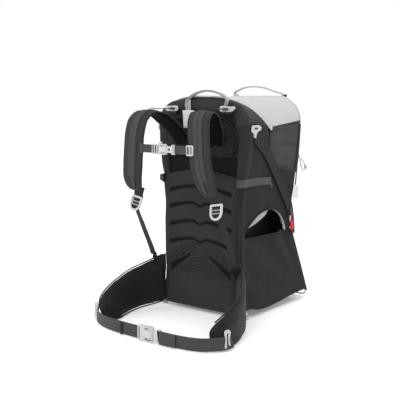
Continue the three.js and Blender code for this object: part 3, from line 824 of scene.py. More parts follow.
def build_back_panel():
    rows, cols = 190, 128
    z = np.linspace(12, 462, rows)[:, None] * np.ones((1, cols))
    share = np.linspace(-1, 1, cols)
    share = np.sign(share) * (1 - (1 - np.abs(share)) ** 1.05)
    half = panel_half(z)
    x = half * share
    top_line = np.array([(155, 430), (146, 438), (126, 446), (84, 455), (40, 462), (0, 462)], float)
    edge = np.minimum(half - np.abs(x), z - 12)
    for a, b in zip(top_line[:-1], top_line[1:]):
        edge = np.minimum(edge, np.where(z > 400, segment_distance(np.abs(x), z, a, b), 99))
    slot = slot_depth(x, z)
    rise = 8.5 * (1 - smooth(edge, 0, 15)) ** 1.6
    rise += 6.0 * (1 - smooth(slot, -3.5, 3.0))
    swell = 1.8 * smooth(slot, 3, 16) * smooth(edge, 13, 26)
    around = np.hypot(x, (z - 108) * 1.02)
    rings = 2.3 * np.sin(around / 10.6 * 2 * math.pi) * smooth(z, 96, 138) * smooth(edge, 14, 24)
    ripple = rings * smooth(slot, 1, 5) * (1 - smooth(around, 126, 146))
    ribs = 0.5 * np.sin((z + 0.35 * np.abs(x)) / 8.4 * 2 * math.pi) * smooth(z, 226, 240)
    ripple += ribs * smooth(slot, 3, 8) * smooth(edge, 14, 24)
    seam = -1.2 * bell(edge, 13.5, 1.4)
    y = -15 + rise - swell - ripple - seam + 0.5 * lumps(x, z, 70, 3)
    front = np.stack([x, y, z], axis=2)
    back = front.copy()
    back[:, :, 1] = -1
    shell = np.concatenate([front, back[:, ::-1]], axis=1)
    fx = (x[:-1, :-1] + x[1:, 1:]) / 2
    fz = (z[:-1, :-1] + z[1:, 1:]) / 2
    # faces inside the vent slots take the near-black slot mesh: painted shade for their depth
    kind = np.where(slot_depth(fx, fz) < -0.6, 1, 0)
    mid = (edge[:-1, :-1] + edge[1:, 1:]) / 2
    kind = np.where(mid < 13.5, 2, kind)
    kinds = np.concatenate([kind, np.full((rows - 1, cols + 1), 2)], axis=1)
    piece = grid(
        "back_pad", shell, [PANEL_MESH, SLOT_SHADE_MESH, SLEEVE], wrap=True, caps=True, face_slots=kinds,
        replaces="back_panel", slot="air_mesh",
    )
    levels = np.linspace(20, 424, 110)
    for side, label in SIDES:
        line = np.stack([side * (panel_half(levels) - 15.5), np.full(110, -15.0), levels], axis=1)
        stitches(f"back_pad_stitch_{label}", line, TO_WEARER)
        outer = np.stack([side * (panel_half(levels) - 1.0), np.full(110, -7.5), levels], axis=1)
        cord(f"back_pad_edge_{label}", outer[::6], 2.0, BINDING, 90, 8)
    across = np.linspace(-128, 128, 70)
    foot = np.stack([across, np.full(70, -14.2), 20 + 0 * across], axis=1)
    stitches("back_pad_stitch_low", foot, TO_WEARER)


def upright_cloth(side, z, columns):
    """Rows of points for a cloth whose columns, given as x and y, run up through the levels z."""
    return np.stack([np.stack([side * x, y + 0 * z, z], axis=1) for x, y in columns], axis=1)


def build_hoop_sleeves():
    """Cloth round the upright tubes: a wide sleeve beside the head opening and a narrow one below."""
    for side, label in SIDES:
        z = np.linspace(434, 608, 46)
        inner, outer = table(SLEEVE_INNER, z), table(FRONT_OUTER, z)
        puff = 1.3 * lumps(z, 0 * z, 60, 11 + side)
        columns = [
            (inner + 2, 3), (inner, 0 * z), (inner + 1.2, -2.6), (inner + 7, -4.2 + puff),
            ((inner + outer) / 2, -5.2 + puff), (outer - 8, -4.6 + puff), (outer - 2.4, -2.4),
            (outer + 0.6, 2),
            (outer + 1.4, 9), (outer + 1.2, 16), (outer - 0.4, 23),
        ]
        points = upright_cloth(side, z, columns)
        piece = grid(f"sleeve_{label}", points, SLEEVE)
        thicken(piece, CLOTH, 0, 1)
        declare_sheet(piece, 76, 176)
        seam = np.stack([side * (outer - 5.5), -6.2 + puff, z], axis=1)
        stitches(f"sleeve_stitch_{label}", seam, TO_WEARER)
        fold = np.stack([side * (outer + 0.4), 22 + 0 * z, z], axis=1)
        cord(f"sleeve_fold_{label}", fold[::4], 1.3, BINDING, 60, 8)

        z = np.linspace(30, 440, 84)
        outer, panel = table(FRONT_OUTER, z), panel_half(np.minimum(z, 429))
        wrap = side_x(12 + 0 * z, z) + 3.6
        columns = [
            (panel - 12, -0.7), (panel - 2, -0.6), ((panel + wrap) / 2, -2.2),
            (np.maximum(outer, wrap) - 4, -2.4),
            (np.maximum(outer, wrap) - 0.4, 0.4), (wrap + 0.6, 6), (wrap + 0.5, 14), (wrap - 0.4, 22),
        ]
        points = upright_cloth(side, z, columns)
        piece = grid(f"sleeve_low_{label}", points, CHARCOAL)
        thicken(piece, 1.4, 0, 1)
        declare_sheet(piece, 60, 412)


def build_upper_back():
    """The dark panel between the uprights, a near-black net below it whose colour is painted shade for the
    gap, and the yoke that carries the straps.
    """
    levels = np.linspace(506, 676, 36)
    half = table(
        [(468, 150), (500, 158), (560, 166), (610, 168), (640, 158), (660, 132), (670, 90), (676, 55)],
        levels
    )
    share = np.linspace(-1, 1, 49)
    x = half[:, None] * share[None]
    z = levels[:, None] + 0 * x
    y = -2.2 + 1.0 * lumps(x, z, 90, 8)
    piece = grid(
        "upper_cloth", np.stack([x, y, z], axis=2), LINING, replaces="upper_back_panel", slot="black_fabric"
    )
    thicken(piece, 1.4)
    declare_sheet(piece, 340, 174)
    levels = np.linspace(438, 512, 20)
    x = table([(438, 146), (512, 160)], levels)[:, None] * np.linspace(-1, 1, 60)[None]
    z = levels[:, None] + 0 * x
    # the net's near-black colour is painted shade for the gap behind the back panel's top
    net = grid("shaded_gap_net", np.stack([x, 2.6 + 0 * x, z], axis=2), GAP_SHADE_MESH)
    thicken(net, 1.2)
    declare_sheet(net, 320, 76)

    yoke_half = [
        (0, 556), (22, 548), (45, 533), (72, 518), (96, 511), (118, 515), (130, 528), (140, 556),
        (134, 582), (122, 603), (104, 620), (84, 628), (45, 618), (20, 604), (0, 592)
    ]
    outline = mirrored_outline(yoke_half, 60)

    def lay(u, v):
        return np.stack([u, -9.6 - 1.2 * lumps(u, v, 60, 4) - 2.2 * bell(np.abs(u), 92, 34), v], axis=1)

    yoke = patch(
        "yoke", outline, 6, lay, YOKE_CLOTH, body="harness", replaces="harness_yoke", slot="black_fabric"
    )
    thicken(yoke, 3.6, 0, 1)
    declare_sheet(yoke, 282, 130)
    rim = lay(outline[:, 0], outline[:, 1])
    cord("yoke_rim", np.vstack([rim, rim[:1]])[::3], 2.1, BINDING, 200, 8, body="harness")
    inner = outline * (0.93, 1)
    inner[:, 1] = 574 + (inner[:, 1] - 574) * 0.86
    stitches("yoke_stitch", lay(inner[:, 0], inner[:, 1]) - (0, 2.2, 0), TO_WEARER, body="harness")
    for side, label in SIDES:
        lobe_half = [
            (50, 545), (62, 526), (92, 514), (122, 522), (134, 545), (130, 580), (116, 604), (94, 618),
            (70, 600), (56, 572)
        ]
        ring = closed_curve(lobe_half, 50) * (side, 1)
        if side < 0:
            ring = ring[::-1]

        def bulge(u, v):
            far = np.hypot((np.abs(u) - 93) / 42, (v - 566) / 54)
            return np.stack(
                [u, -12.8 - 4.5 * (1 - smooth(far, 0.35, 1.0)) - 0.5 * lumps(u, v, 40, 9), v], axis=1
            )

        lobe = patch(f"yoke_lobe_{label}", ring, 5.5, bulge, LINING, body="harness")
        thicken(lobe, CLOTH, 0, 1)
        declare_sheet(lobe, 86, 106)
    for x, label in ((26, "right"), (-26, "left")):
        path = [(x, -12.6, 600), (x, -13.2, 580), (x, -12.8, 552)]
        webbing(f"yoke_ladder_{label}", path, TO_WEARER, 15, 1.8, DARK_WEB, 24, body="harness")


# ---------------------------------------------------------------- shoulder straps
STRAP_LINE = [
    (-20, 548, 60), (-40, 582, 72), (-72, 614, 86), (-108, 640, 100), (-143, 645, 110), (-168, 625, 118),
    (-178, 588, 124), (-180, 535, 129), (-178, 484, 135), (-169, 436, 145), (-153, 404, 152)
]


def strap_surface(side, count=110):
    """The strap's middle line with its across and outward directions."""
    path = spline([(x * side, y, z) for y, z, x in STRAP_LINE], count)
    tangent = unit(np.gradient(path, axis=0))
    out = unit(np.cross(tangent, X_AXIS))
    across = np.cross(out, tangent)
    return path, across, out


def strap_width(share):
    return 37.5 * table([(0, 0.86), (0.12, 1), (0.8, 1), (0.9, 0.95), (0.96, 0.82), (1, 0.62)], share)


def build_strap(side, label):
    path, across, out = strap_surface(side)
    share = np.linspace(0, 1, len(path))
    half = strap_width(share)
    puff = 1 + 0.05 * lumps(share * 500, 0 * share, 70, 21 + side)
    lane_count = 25
    lanes = np.linspace(-1, 1, lane_count)
    dome = 4.6 * (1 - np.abs(lanes) ** 3.2) ** 0.6 + 0.9
    groove = 1.5 * bell(np.abs(lanes), 0.46, 0.05) + 1.2 * bell(np.abs(lanes), 0.88, 0.05)
    top = dome - groove
    bottom = -(dome - 1.0 * bell(np.abs(lanes), 0.86, 0.05))
    rings = []
    for k in range(len(path)):
        upper = path[k] + across[k] * (lanes[:, None] * half[k]) + out[k] * (top[:, None] * puff[k])
        lower = path[k] + across[k] * (lanes[::-1, None] * half[k]) + out[k] * (bottom[::-1, None] * puff[k])
        rings.append(np.vstack([upper, lower]))
    # the strap's back half takes the darker lining copy: painted shade
    kinds = [[0] * lane_count + [1] * lane_count] * (len(path) - 1)
    piece = grid(
        f"strap_{label}", np.array(rings), [STRAP_FACE, STRAP_UNDERSIDE_SHADE], wrap=True, caps=True, face_slots=kinds,
        body="harness", replaces=f"shoulder_strap_{label}", slot="charcoal_fabric",
    )
    for edge, letter in ((-1, "a"), (1, "b")):
        line = path + across * (edge * half[:, None]) + out * 0.2
        cord(f"strap_piping_{label}_{letter}", line[::3], 2.3, BINDING, 120, 8, body="harness")
        seam = path + across * (edge * half[:, None] * 0.86) + out * 4.7
        stitches(f"strap_stitch_{label}_{letter}", seam[2:-2], out[2:-2], body="harness")
    start = 8  # the band starts above the strap's sewn root
    middle = path[start:-12] + out[start:-12] * 6.1
    sweep(f"strap_band_{label}", middle, out[start:-12], web_section(33, 1.6), STRAP_BAND, body="harness")
    for edge, letter in ((-1, "a"), (1, "b")):
        line = middle + across[start:-12] * edge * 14 + out[start:-12] * 0.9
        stitches(f"band_stitch_{label}_{letter}", line, out[start:-12], body="harness")
    web = path[start:-4] - across[start:-4] * (side * 7) + out[start:-4] * 7.6
    sweep(f"strap_daisy_{label}", web, out[start:-4], web_section(11, 1.3), WEBBING, body="harness")
    run = run_length(web)
    for number, s in enumerate(np.arange(12, run[-1] - 6, 14)):
        k = int(np.searchsorted(run, s))
        spot = web[k] + out[start + k] * 0.9
        tick = [spot + across[start + k] * d for d in (-6.6, -3, 0, 3, 6.6)]
        cord(f"strap_tick_{label}_{number}", tick, 0.75, THREAD, 8, 5, body="harness")


def build_strap_end(side, label):
    """The anchor at a strap's end, its adjuster and the webbing that runs down to the hip wing."""
    origin = np.array((side * 160, -141.0, 358.0))
    tilt, lean = 0.30, side * -0.16
    up = unit((math.sin(lean), math.sin(tilt), math.cos(tilt)))
    right = unit(np.cross(TO_WEARER, up) * -1)
    right = right if right[0] > 0 else -right
    turn = np.linspace(0, -math.pi, 13)
    bow = [(22.5 * math.cos(a), -3 + 22.5 * math.sin(a)) for a in turn]
    ring = [(-23, 20), (-20, 24), (20, 24), (23, 20), *bow]
    inner = [(-16, 17), (16, 17), *[(16 * math.cos(a), -3 + 16 * math.sin(a)) for a in turn]]
    plate(
        f"adjuster_{label}", [ring[::-1], inner[::-1]], 6, 1.7, origin, right, up, PLASTIC,
        body="harness", replaces=f"strap_adjuster_{label}", slot="plastic",
    )
    out = np.cross(right, up)
    for level in (5.5, -4.5):
        bar = [origin + right * x + up * level for x in (-16.5, 0, 16.5)]
        cord(
            f"adjuster_bar_{label}_{'a' if level > 0 else 'b'}", bar, 1.9, GREY_PLASTIC, 12, 10,
            body="harness"
        )
    loop = [origin + up * a + out * b for a, b in (
        (54, 2), (42, 1.5), (32, 0), (24, -4.5), (16, -5.5), (12, -4.5)
    )]
    webbing(f"adjuster_loop_{label}", loop, out + right * 0.01, 38, 2, STRAP_FACE, 40, body="harness")
    weave = [origin + up * a + out * b for a, b in (
        (13, -2.2), (5.5, -3.2), (0.5, -2.2), (-4.5, -3.2), (-12, -2.6), (-18, -4.2)
    )]
    webbing(f"adjuster_weave_{label}", weave, out + right * 0.01, 30, 1.6, DARK_WEB, 40, body="harness")
    low = [
        (side * 164, -52, 178), (side * 166, -62, 205), (side * 167, -84, 250), (side * 166, -110, 300),
        (side * 163, -130, 334), (side * 161, -138, 350)
    ]
    web = webbing(f"lower_web_{label}", low, (0, -0.85, 0.5), 22, 1.8, DARK_WEB, 60, body=None)
    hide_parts(f"strap_webbing_{label}")
    metres([(side * 164, -52, 178)])[0]
    metres([(side * 164, -125, 324)])[0]
    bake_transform(web)
    anchor = np.array([(168, -18, 128), (170, -28, 150), (165, -44, 170), (164, -54, 182)]) * (side, 1, 1)
    webbing(f"lower_anchor_{label}", anchor, (side * 0.6, -0.7, 0.3), 38, 2.2, DARK_WEB, 20)


def build_lifters(side, label):
    """Load lifters: a buckle on the header and a short run of webbing to the strap's crest."""
    body = [
        (side * x, z) for x,
        z in ((-26, -9), (-20, -11), (16, -11), (24, -7), (30, 0), (27, 6), (16, 5), (-20, 7), (-26, 4))
    ]
    hole = [(side * x, z) for x, z in rounded(22, 5, 2, centre=(-5, -2.5))]
    if side < 0:
        body, hole = body[::-1], hole[::-1]
    plate(
        f"lifter_{label}", [body, hole], 7, 2.0, (side * 110, -20, 658), (1, 0, 0), (0, 0, 1), PLASTIC,
        replaces=f"lifter_buckle_{label}", slot="plastic",
    )
    anchor = [(side * 110, -5, 640), (side * 109, -14, 646), (side * 108, -19, 654)]
    webbing(f"lifter_anchor_{label}", anchor, (0, -1, 0.2), 24, 1.8, WEBBING, 16)
    run = [
        (side * 106, -21, 657), (side * 105, -44, 656), (side * 105, -70, 655.5), (side * 106, -98, 656.5),
        (side * 106, -118, 657.5)
    ]
    web = webbing(f"lifter_web_{label}", run, (0, 0, 1), 22, 1.8, WEBBING, 40, body=None)
    metres([(side * 106, -26, 657)])[0]
    metres([(side * 106, -96, 657)])[0]
    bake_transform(web)


STERNUM_Y, STERNUM_Z = -189, 538


def frontal_plate(name, loops, thickness, edge, y, z, material, **options):
    """A plate whose outline is drawn in x and z, facing the wearer."""
    return plate(name, loops, thickness, edge, (0, y, z), (1, 0, 0), (0, 0, 1), material, **options)


def build_sternum():
    y, z = STERNUM_Y, STERNUM_Z
    left = [(-92, y + 1.5, z), (-78, y, z), (-60, y, z), (-22, y, z)]
    webbing(
        "sternum_web_left", left, TO_WEARER, CHEST_WIDTH, 1.8, WEBBING, 30, body="sternum",
        replaces="sternum_webbing_left", slot="webbing"
    )
    right = [(44, y, z), (60, y - 0.3, z), (76, y, z), (92, y, z), (108, y + 1.5, z)]
    web = webbing(
        "sternum_web_right", right, TO_WEARER, CHEST_WIDTH, 1.8, WEBBING, 40, body=None,
        replaces="sternum_webbing_right", slot="webbing"
    )
    metres([(88, y, z)])[0]
    metres([(54, y, z)])[0]
    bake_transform(web)
    slider = [
        rounded(21, 31, 3, centre=(-34, 0)), rounded(5.5, 24, 1.5, centre=(-39, 0)),
        rounded(5.5, 24, 1.5, centre=(-29.5, 0))
    ]
    frontal_plate("sternum_slider", slider, 5, 1.4, y - 0.6, z, PLASTIC, body="sternum")
    shell = [
        (-22, -15), (-16, -15.6), (8, -14.2), (13.6, -13), (13.6, 13), (8, 14.2), (-16, 15.6), (-22, 15)
    ]
    windows = [
        rounded(15, 4.6, 2, centre=(1, 11)), rounded(15, 4.6, 2, centre=(1, -11)),
        rounded(3.6, 23, 1.4, centre=(-17.6, 0))
    ]
    frontal_plate(
        "sternum_female", [shell, *windows], 10, 2.6, y - 1, z, PLASTIC, body="sternum",
        replaces="sternum_buckle_female", slot="plastic"
    )
    lathe(
        "sternum_whistle", [(2, 0), (5.6, 0), (6, 1), (6, 7), (5, 8), (2.2, 8.2)], (-11, y - 1, z + 14.5),
        (0, 0, 1), PLASTIC, 24, body="sternum"
    )
    male = [
        (14.2, -9), (22, -9.5), (30, -9), (35, -14.5), (44.5, -14.5), (44.5, 14.5), (35, 14.5), (30, 9),
        (22, 9.5), (14.2, 9)
    ]
    holes = [rounded(3.6, 23, 1.4, centre=(40.4, 0)), rounded(9, 8, 2, centre=(23.5, 0))]
    frontal_plate(
        "sternum_male_part", [male, *holes], 8, 2.0, y - 1, z, PLASTIC, body="sternum_male",
        replaces="sternum_buckle_male", slot="plastic"
    )
    for edge in (-1, 1):
        prong = [(-6, edge * 9.5), (-1, edge * 12.2), (14, edge * 8.4), (14, edge * 5.4), (-2, edge * 8)]
        prong = prong if edge < 0 else prong[::-1]
        frontal_plate(
            f"sternum_prong_{'up' if edge > 0 else 'down'}", [prong], 4.6, 1.0, y - 1, z, PLASTIC,
            body="sternum_male"
        )
    clip = [
        rounded(25, 31, 4, centre=(101, 0)), rounded(7, 22, 1.5, centre=(95, 0)),
        rounded(5, 22, 1.5, centre=(106, 0))
    ]
    frontal_plate("sternum_clip_right", clip, 6, 1.6, y - 0.4, z, PLASTIC, body="sternum")
    frontal_plate(
        "sternum_clip_left", [rounded(12, 31, 4, centre=(-88, 0))], 6, 1.8, y + 0.6, z, DARK_PLASTIC,
        body="sternum"
    )


# ---------------------------------------------------------------- side cloth, windows and bands
LEG_ARC = [
    (0.6, 262), (18, 274), (33, 285), (60, 305), (88, 322), (115, 331), (142, 334), (175, 330), (205, 314),
    (227, 288), (240, 256)
]


def on_side(side, lift, crease=0.0, seed=1, size=80):
    """Lays (y, z) points on the side cloth of one side, lift millimetres off its inner face."""

    def place(u, v):
        u, v = np.asarray(u, float), np.asarray(v, float)
        x = side_x(u, v) + lift + crease * lumps(u, v, size, seed)
        return np.stack([side * x, u, v], axis=1)

    return place


def both_ways(side, outline):
    return np.asarray(outline)[::-1] if side < 0 else np.asarray(outline)


def build_side(side, label):
    arc = flat_curve(LEG_ARC, 44)
    rest = densify(
        [
            (240, 256), (252, 262), (258, 290), (262, 352), (272, 408), (278, 447), (131, 476), (116, 570),
            (104, 590), (99, 600), (60, 603), (14, 606), (6, 600), (1, 262)
        ],
        9, False
    )
    outline = np.vstack([arc[:-1], rest[:-1]])
    outline = outline[outline[:, 0] >= 0.5]

    def lay(u, v):
        u, v = np.asarray(u, float), np.asarray(v, float)
        diagonal = np.sin((u * 0.82 + v * 0.57) / 34) * 1.4 * smooth(v, 300, 380) * (1 - smooth(v, 430, 520))
        dimple = 1.6 * lumps(u, v, 95, 31 + side)
        x = side_x(u, v) + 1.6 + dimple * 0.7 + diagonal
        return np.stack([side * x, u, v], axis=1)

    panel = patch(
        f"side_cloth_{label}", both_ways(side, outline), 7, lay, CHARCOAL, replaces=f"side_panel_{label}",
        slot="charcoal_fabric"
    )
    thicken(panel, CLOTH)
    declare_sheet(panel, 300, 350)

    window = densify(
        [(131, 474), (282, 448), (291, 500), (301, 604), (128, 598), (116, 588), (118, 560)], 9
    )
    net = patch(
        f"window_net_{label}", both_ways(side, window), 8, on_side(side, 1.0, 0.7, 5), WINDOW_MESH,
        replaces=f"mesh_window_{label}", slot="window_mesh"
    )
    thicken(net, 0.9)
    declare_sheet(net, 186, 156)
    for name, corners, width in (
        ("front", [(116, 596), (118, 560), (125, 512), (131, 474)], 9),
        ("sill", [(129, 476), (205, 463), (281, 449)], 10),
        ("rear", [(280, 452), (288, 500), (295, 560), (297, 604)], 6),
    ):
        line = flat_curve(corners, 40)
        path = on_side(side, 3.4)(line[:, 0], line[:, 1])
        webbing(f"window_{name}_{label}", path, (side, 0, 0), width, 1.6, BINDING, 40)
        edge = on_side(side, 4.6)(line[:, 0], line[:, 1])
        stitches(f"window_{name}_stitch_{label}", edge, (side, 0, 0))

    # the leg opening's rim: dark binding outside, a pale lining crescent inside its front part
    rim = on_side(side, 3.0)(arc[:, 0], arc[:, 1])
    cord(f"leg_rim_{label}", rim, 2.6, BINDING, 90, 8)
    count = 60
    edge = flat_curve([(33, 285), (60, 305), (88, 322), (115, 331), (142, 334)], count)
    inner = flat_curve([(33, 283), (55, 287), (82, 295), (106, 305), (126, 315), (142, 333)], count)
    near, far = on_side(side, 1.8)(edge[:, 0], edge[:, 1]), on_side(side, 0.2)(inner[:, 0], inner[:, 1])
    middle = (near + far) / 2 + (side * 3.0, 0, 0) * np.sin(np.linspace(0, math.pi, count))[:, None]
    lining = grid(
        f"leg_lining_{label}",
        np.stack([near, (near + middle) / 2, middle, (far + middle) / 2, far], axis=1), PALE_LINING
    )
    thicken(lining, 1.4, 0, 1)
    declare_sheet(lining, 26, 130)
    edge = flat_curve([(160, 333), (182, 327), (205, 313), (226, 287), (239, 256)], count)
    inner = flat_curve([(160, 331.5), (181, 325), (203, 310), (222, 285), (231, 256)], count)
    near, far = on_side(side, 1.0)(edge[:, 0], edge[:, 1]), on_side(side, -4.0)(inner[:, 0], inner[:, 1])
    strip = grid(f"leg_edge_{label}", np.stack([near, far], axis=1), PALE_LINING)
    thicken(strip, 1.2)
    declare_sheet(strip, 12, 120)
    curtain_u, curtain_v = np.meshgrid(np.linspace(14, 258, 30), np.linspace(200, 440, 26))
    wall = 112 + 10 * lumps(curtain_u, curtain_v, 150, 77) - 0.10 * (curtain_u - 14)
    curtain = grid(f"seat_curtain_{label}", np.stack([side * wall, curtain_u, curtain_v], axis=2), LINING)
    thicken(curtain, 1.2)
    declare_sheet(curtain, 248, 244)

    # diagonal strap that tensions the cloth, with its buckle at the shoulder and its tail
    line = flat_curve([(30, 572), (88, 532), (150, 470), (205, 402), (248, 334), (258, 302)], 60)
    path = on_side(side, 5.4)(line[:, 0], line[:, 1])
    webbing(
        f"side_band_{label}", path, (side, 0, 0.001), BELT_WIDTH, 1.8, CHARCOAL, 60,
        replaces=f"side_strap_{label}", slot="webbing"
    )
    for edge in (-16, 16):
        turn = unit(np.gradient(line, axis=0))
        rail = line + np.stack([-turn[:, 1], turn[:, 0]], axis=1) * edge
        stitches(
            f"side_band_stitch_{label}_{'a' if edge < 0 else 'b'}",
            on_side(side, 6.6)(rail[:, 0], rail[:, 1]), (side, 0, 0)
        )
    shape = [
        (3, 588), (3, 600), (8, 607), (40, 607), (53, 600), (50, 592), (34, 587), (27, 580), (23, 568),
        (16, 570), (13, 582)
    ]
    hole = rounded(19, 6, 2, centre=(24, 597))
    loops = [[(side * u, v) for u, v in loop] for loop in (shape, hole)]
    if side < 0:
        loops = [loop[::-1] for loop in loops]
    plate(
        f"side_clasp_{label}", loops, 5.5, 1.5, (side * 186, 0, 0), (0, side, 0), (0, 0, 1), PLASTIC,
        replaces=f"side_buckle_{label}", slot="plastic",
    )
    clasp_web = [(side * 178, 6, 575), (side * 181, 14, 585), (side * 185, 22, 597), (side * 186, 30, 603)]
    webbing(f"clasp_web_{label}", clasp_web, (side, 0, 0.1), 16, 1.6, WEBBING, 20)

    # elastic band round the frame's waist
    wrap = [
        (side * 146, -17.5, 428), (side * 154, -16, 428), (side * 160.5, -6, 429), (side * 161.8, 6, 429)
    ]
    line = [(20, 429), (60, 430), (100, 429), (140, 427)]
    run = on_side(side, 5.2)([p[0] for p in line], [p[1] for p in line])
    band_path = np.vstack([wrap, run])
    spread = run_length(band_path)
    fine = spline(band_path, 60)
    at = np.linspace(0, spread[-1], 60)
    face = unit(np.stack(
        [side * smooth(at, 0, 22), -1 + smooth(at, 2, 24), 0 * at], axis=1
    ) + (side * 1e-3, 0, 0))
    sweep(f"waist_elastic_{label}", fine, face, web_section(CHEST_WIDTH, 1.8), ELASTIC)
    pull = [
        (side * x, y, z) for x, y, z in ((161, 132, 427), (162, 140, 426), (163, 148, 418), (163, 150, 404))
    ]
    webbing(f"elastic_tab_{label}", pull, (side, 0, 0.1), 14, 1.6, WEBBING, 20)


def build_gusset(side, label):
    front = [(3, 36), (60, 22), (117, 17), (201, 23), (264, 29), (340, 34)]
    back = [(362, 26), (346, 66), (326, 118), (300, 182), (276, 240)]
    top = [(272, 254), (240, 252), (180, 250), (120, 247), (60, 247), (3, 252)]
    outline = densify(front + back + top, 9)

    def lay(u, v):
        u, v = np.asarray(u, float), np.asarray(v, float)
        far = smooth(u, 12, 60) * (1 - smooth(u, kick_y(v) - 50, kick_y(v) - 6))
        fan = np.sin(np.arctan2(v - 40, 330 - u) * 15 + 0.6) * 4.2 * smooth(
            np.hypot(330 - u, v - 40), 60, 200
        )
        soft = 5.0 * lumps(u, v, 130, 53 + side)
        sag = 13 * smooth(v, 222, 256) * smooth(u, 0, 40) * (1 - smooth(u, 150, 196))
        x = side_x(u, v) + 1.6 + far * (fan + soft - 2) * 0.75 - sag
        return np.stack([side * x, u, v], axis=1)

    cloth = patch(
        f"gusset_cloth_{label}", both_ways(side, outline), 7.5, lay, CHARCOAL, body=None,
        replaces=f"gusset_{label}", slot="charcoal_fabric"
    )
    declare_sheet(cloth, 352, 246)
    thicken(cloth, CLOTH)
    line = flat_curve([(3, 252), (60, 247), (120, 247), (180, 250), (240, 252), (270, 254)], 50)
    rim = cord(f"gusset_rim_{label}", lay(line[:, 0], line[:, 1]), 2.2, BINDING, 90, 8, body=None)
    low = flat_curve([(14, 38), (60, 24), (117, 19), (201, 25), (264, 31), (350, 38)], 60)
    hem = cord(f"gusset_hem_{label}", lay(low[:, 0], low[:, 1]), 2.4, BINDING, 90, 8, body=None)
    seam = lay(low[:, 0], low[:, 1] + 12) + (side * 1.2, 0, 0)
    thread = stitches(f"gusset_stitch_{label}", seam, (side, 0, 0), body=None)
    for piece in (cloth, rim, hem, thread):
        fold_with_stand(piece)


def fold_with_stand(piece):
    """Bakes the placement of cloth between the frame and the folding kickstand into its mesh."""
    metres([(0, 60, 142)])[0]
    metres([(0, 277.6, 233)])[0]
    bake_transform(piece)


# ---------------------------------------------------------------- roof, handles and label
SHADE_EDGE = [(176, 592), (176, 607), (171, 627), (156, 655), (130, 673), (104, 683), (70, 690), (0, 693)]
FRONT_EDGE = [(177, 606), (177, 623), (165, 649), (136, 672), (79, 684), (0, 688)]
HEADER_INNER = [(130, 600), (127, 622), (112, 643), (80, 650), (0, 651)]
REAR_EDGE = [(172, 609), (172, 623), (164, 649), (144, 672), (112, 690), (60, 693), (0, 693)]
ARCH_COUNT = 81


def shade_y(z):
    return 118 - (np.asarray(z, float) - 592) / 0.853


def arch_line(half, depth):
    line = arch([(x, 0, z) for x, z in half], ARCH_COUNT)
    line[:, 1] = depth(line[:, 2]) if callable(depth) else depth
    return line


def build_roof():
    inner, outer = arch_line(HEADER_INNER, -3.0), arch_line(FRONT_EDGE, -1.0)
    rim = outer.copy()
    rim[:, 1] = 3
    edge = arch_line(SHADE_EDGE, lambda z: shade_y(z) - 5)
    edge[:, 1] = np.maximum(edge[:, 1], 7)
    back = inner.copy()
    back[:, 1] = 2
    mid = (inner + outer) / 2
    mid[:, 1] = -5.4 + 1.2 * lumps(mid[:, 0], mid[:, 2], 70, 61)
    face = outer + (inner - outer) * 0.1
    face[:, 1] = -4.2
    columns = [back, inner, mid, face, outer, rim]
    columns += [rim + (edge - rim) * t for t in (0.2, 0.4, 0.6, 0.8, 1.0)]
    cover = np.stack(columns, axis=1)
    cover[:, 5:-1] += 1.0 * lumps(cover[:, 5:-1, 0], cover[:, 5:-1, 1], 60, 62)[..., None] * (0.2, 0, 1)
    piece = grid("arch_cloth", cover, ROOF_DARK, replaces="arch_cover", slot="charcoal_fabric")
    thicken(piece, CLOTH, 0, 1)
    declare_sheet(piece, 170, 560)
    stitches("header_stitch", inner + (outer - inner) * 0.12 - (0, 2.4, 0), TO_WEARER)
    stitches("header_top_stitch", inner + (outer - inner) * 0.84 - (0, 3.4, 0), TO_WEARER)

    front = arch_line(SHADE_EDGE, lambda z: shade_y(z) + 2)
    rear = arch_line(REAR_EDGE, 304)
    steps = np.linspace(0, 1, 34)
    sheet = np.stack([front + (rear - front) * t for t in steps], axis=1)
    top = smooth(sheet[:, :, 2], 640, 690)
    swell = np.sin(math.pi * steps)[None]
    sag = swell * (1 - np.abs(sheet[:, :, 0]) / 190)
    ruffle = 1.3 * lumps(sheet[:, :, 0], sheet[:, :, 1], 110, 71) * top * swell
    sheet[:, :, 2] += -4.0 * sag * top + ruffle
    side_puff = (1 - top) * swell
    sheet[:, :, 0] += np.sign(sheet[:, :, 0]) * side_puff * (1.2 + 1.4 * lumps(
        sheet[:, :, 1], sheet[:, :, 2], 80, 72
    ))
    canopy = grid("canopy_cloth", sheet, CANOPY, body=None, replaces="canopy", slot="canopy_fabric")
    declare_sheet(canopy, 300, 640)
    thicken(canopy, 1.2)
    soft = [canopy]
    soft.append(sweep(
        "canopy_rear_piping", rear + (rear - (0, 304, 620)) * 0.006 + (0, 1, 0), (0, 1, 0.01),
        round_section(2.3, 10), PALE_PIPING, body=None
    ))
    for side, label in SIDES:
        a = np.array((side * 177.4, 118, 591.5))
        b = np.array((side * 174.5, 302, 607))
        low = np.linspace(a, b, 30)
        soft.append(sweep(
            f"canopy_hem_{label}", low, (side, 0, 0.05), web_section(15, 1.8), BINDING, body=None
        ))
        row = low + (side * 1.2, 0, 4)
        soft.append(stitches(f"canopy_hem_stitch_{label}", row, (side, 0, 0.05), body=None))
    soft.append(stitches(
        "canopy_front_stitch", sheet[:, 1] * (1.006, 1, 1) + (0, 2, 0.9), (0, 0, 1.0), body=None,
        material=PALE_PIPING
    ))
    for piece in soft:
        metres([(0, 300, 640)])[0]
        metres([(0, 70, 640)])[0]
        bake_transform(piece)
    wire = arch_line(SHADE_EDGE, shade_y)
    wire[:, 0] *= 1.008
    wire[:, 2] += 0.8
    sweep(
        "shade_piping", wire, (0, 1, 0.01), round_section(2.6, 12), PALE_PIPING, body="sunshade",
        replaces="sunshade_hoop", slot="plastic"
    )
    for side, label in SIDES:
        cap = [(2, 0), (7, 0), (7.6, 1), (6.6, 3.4), (3, 4.2), (1, 4.3)]
        lathe(
            f"shade_pivot_{label}", cap, (side * 178, 119, 596), (side, 0, 0), PLASTIC, 24, body="sunshade"
        )


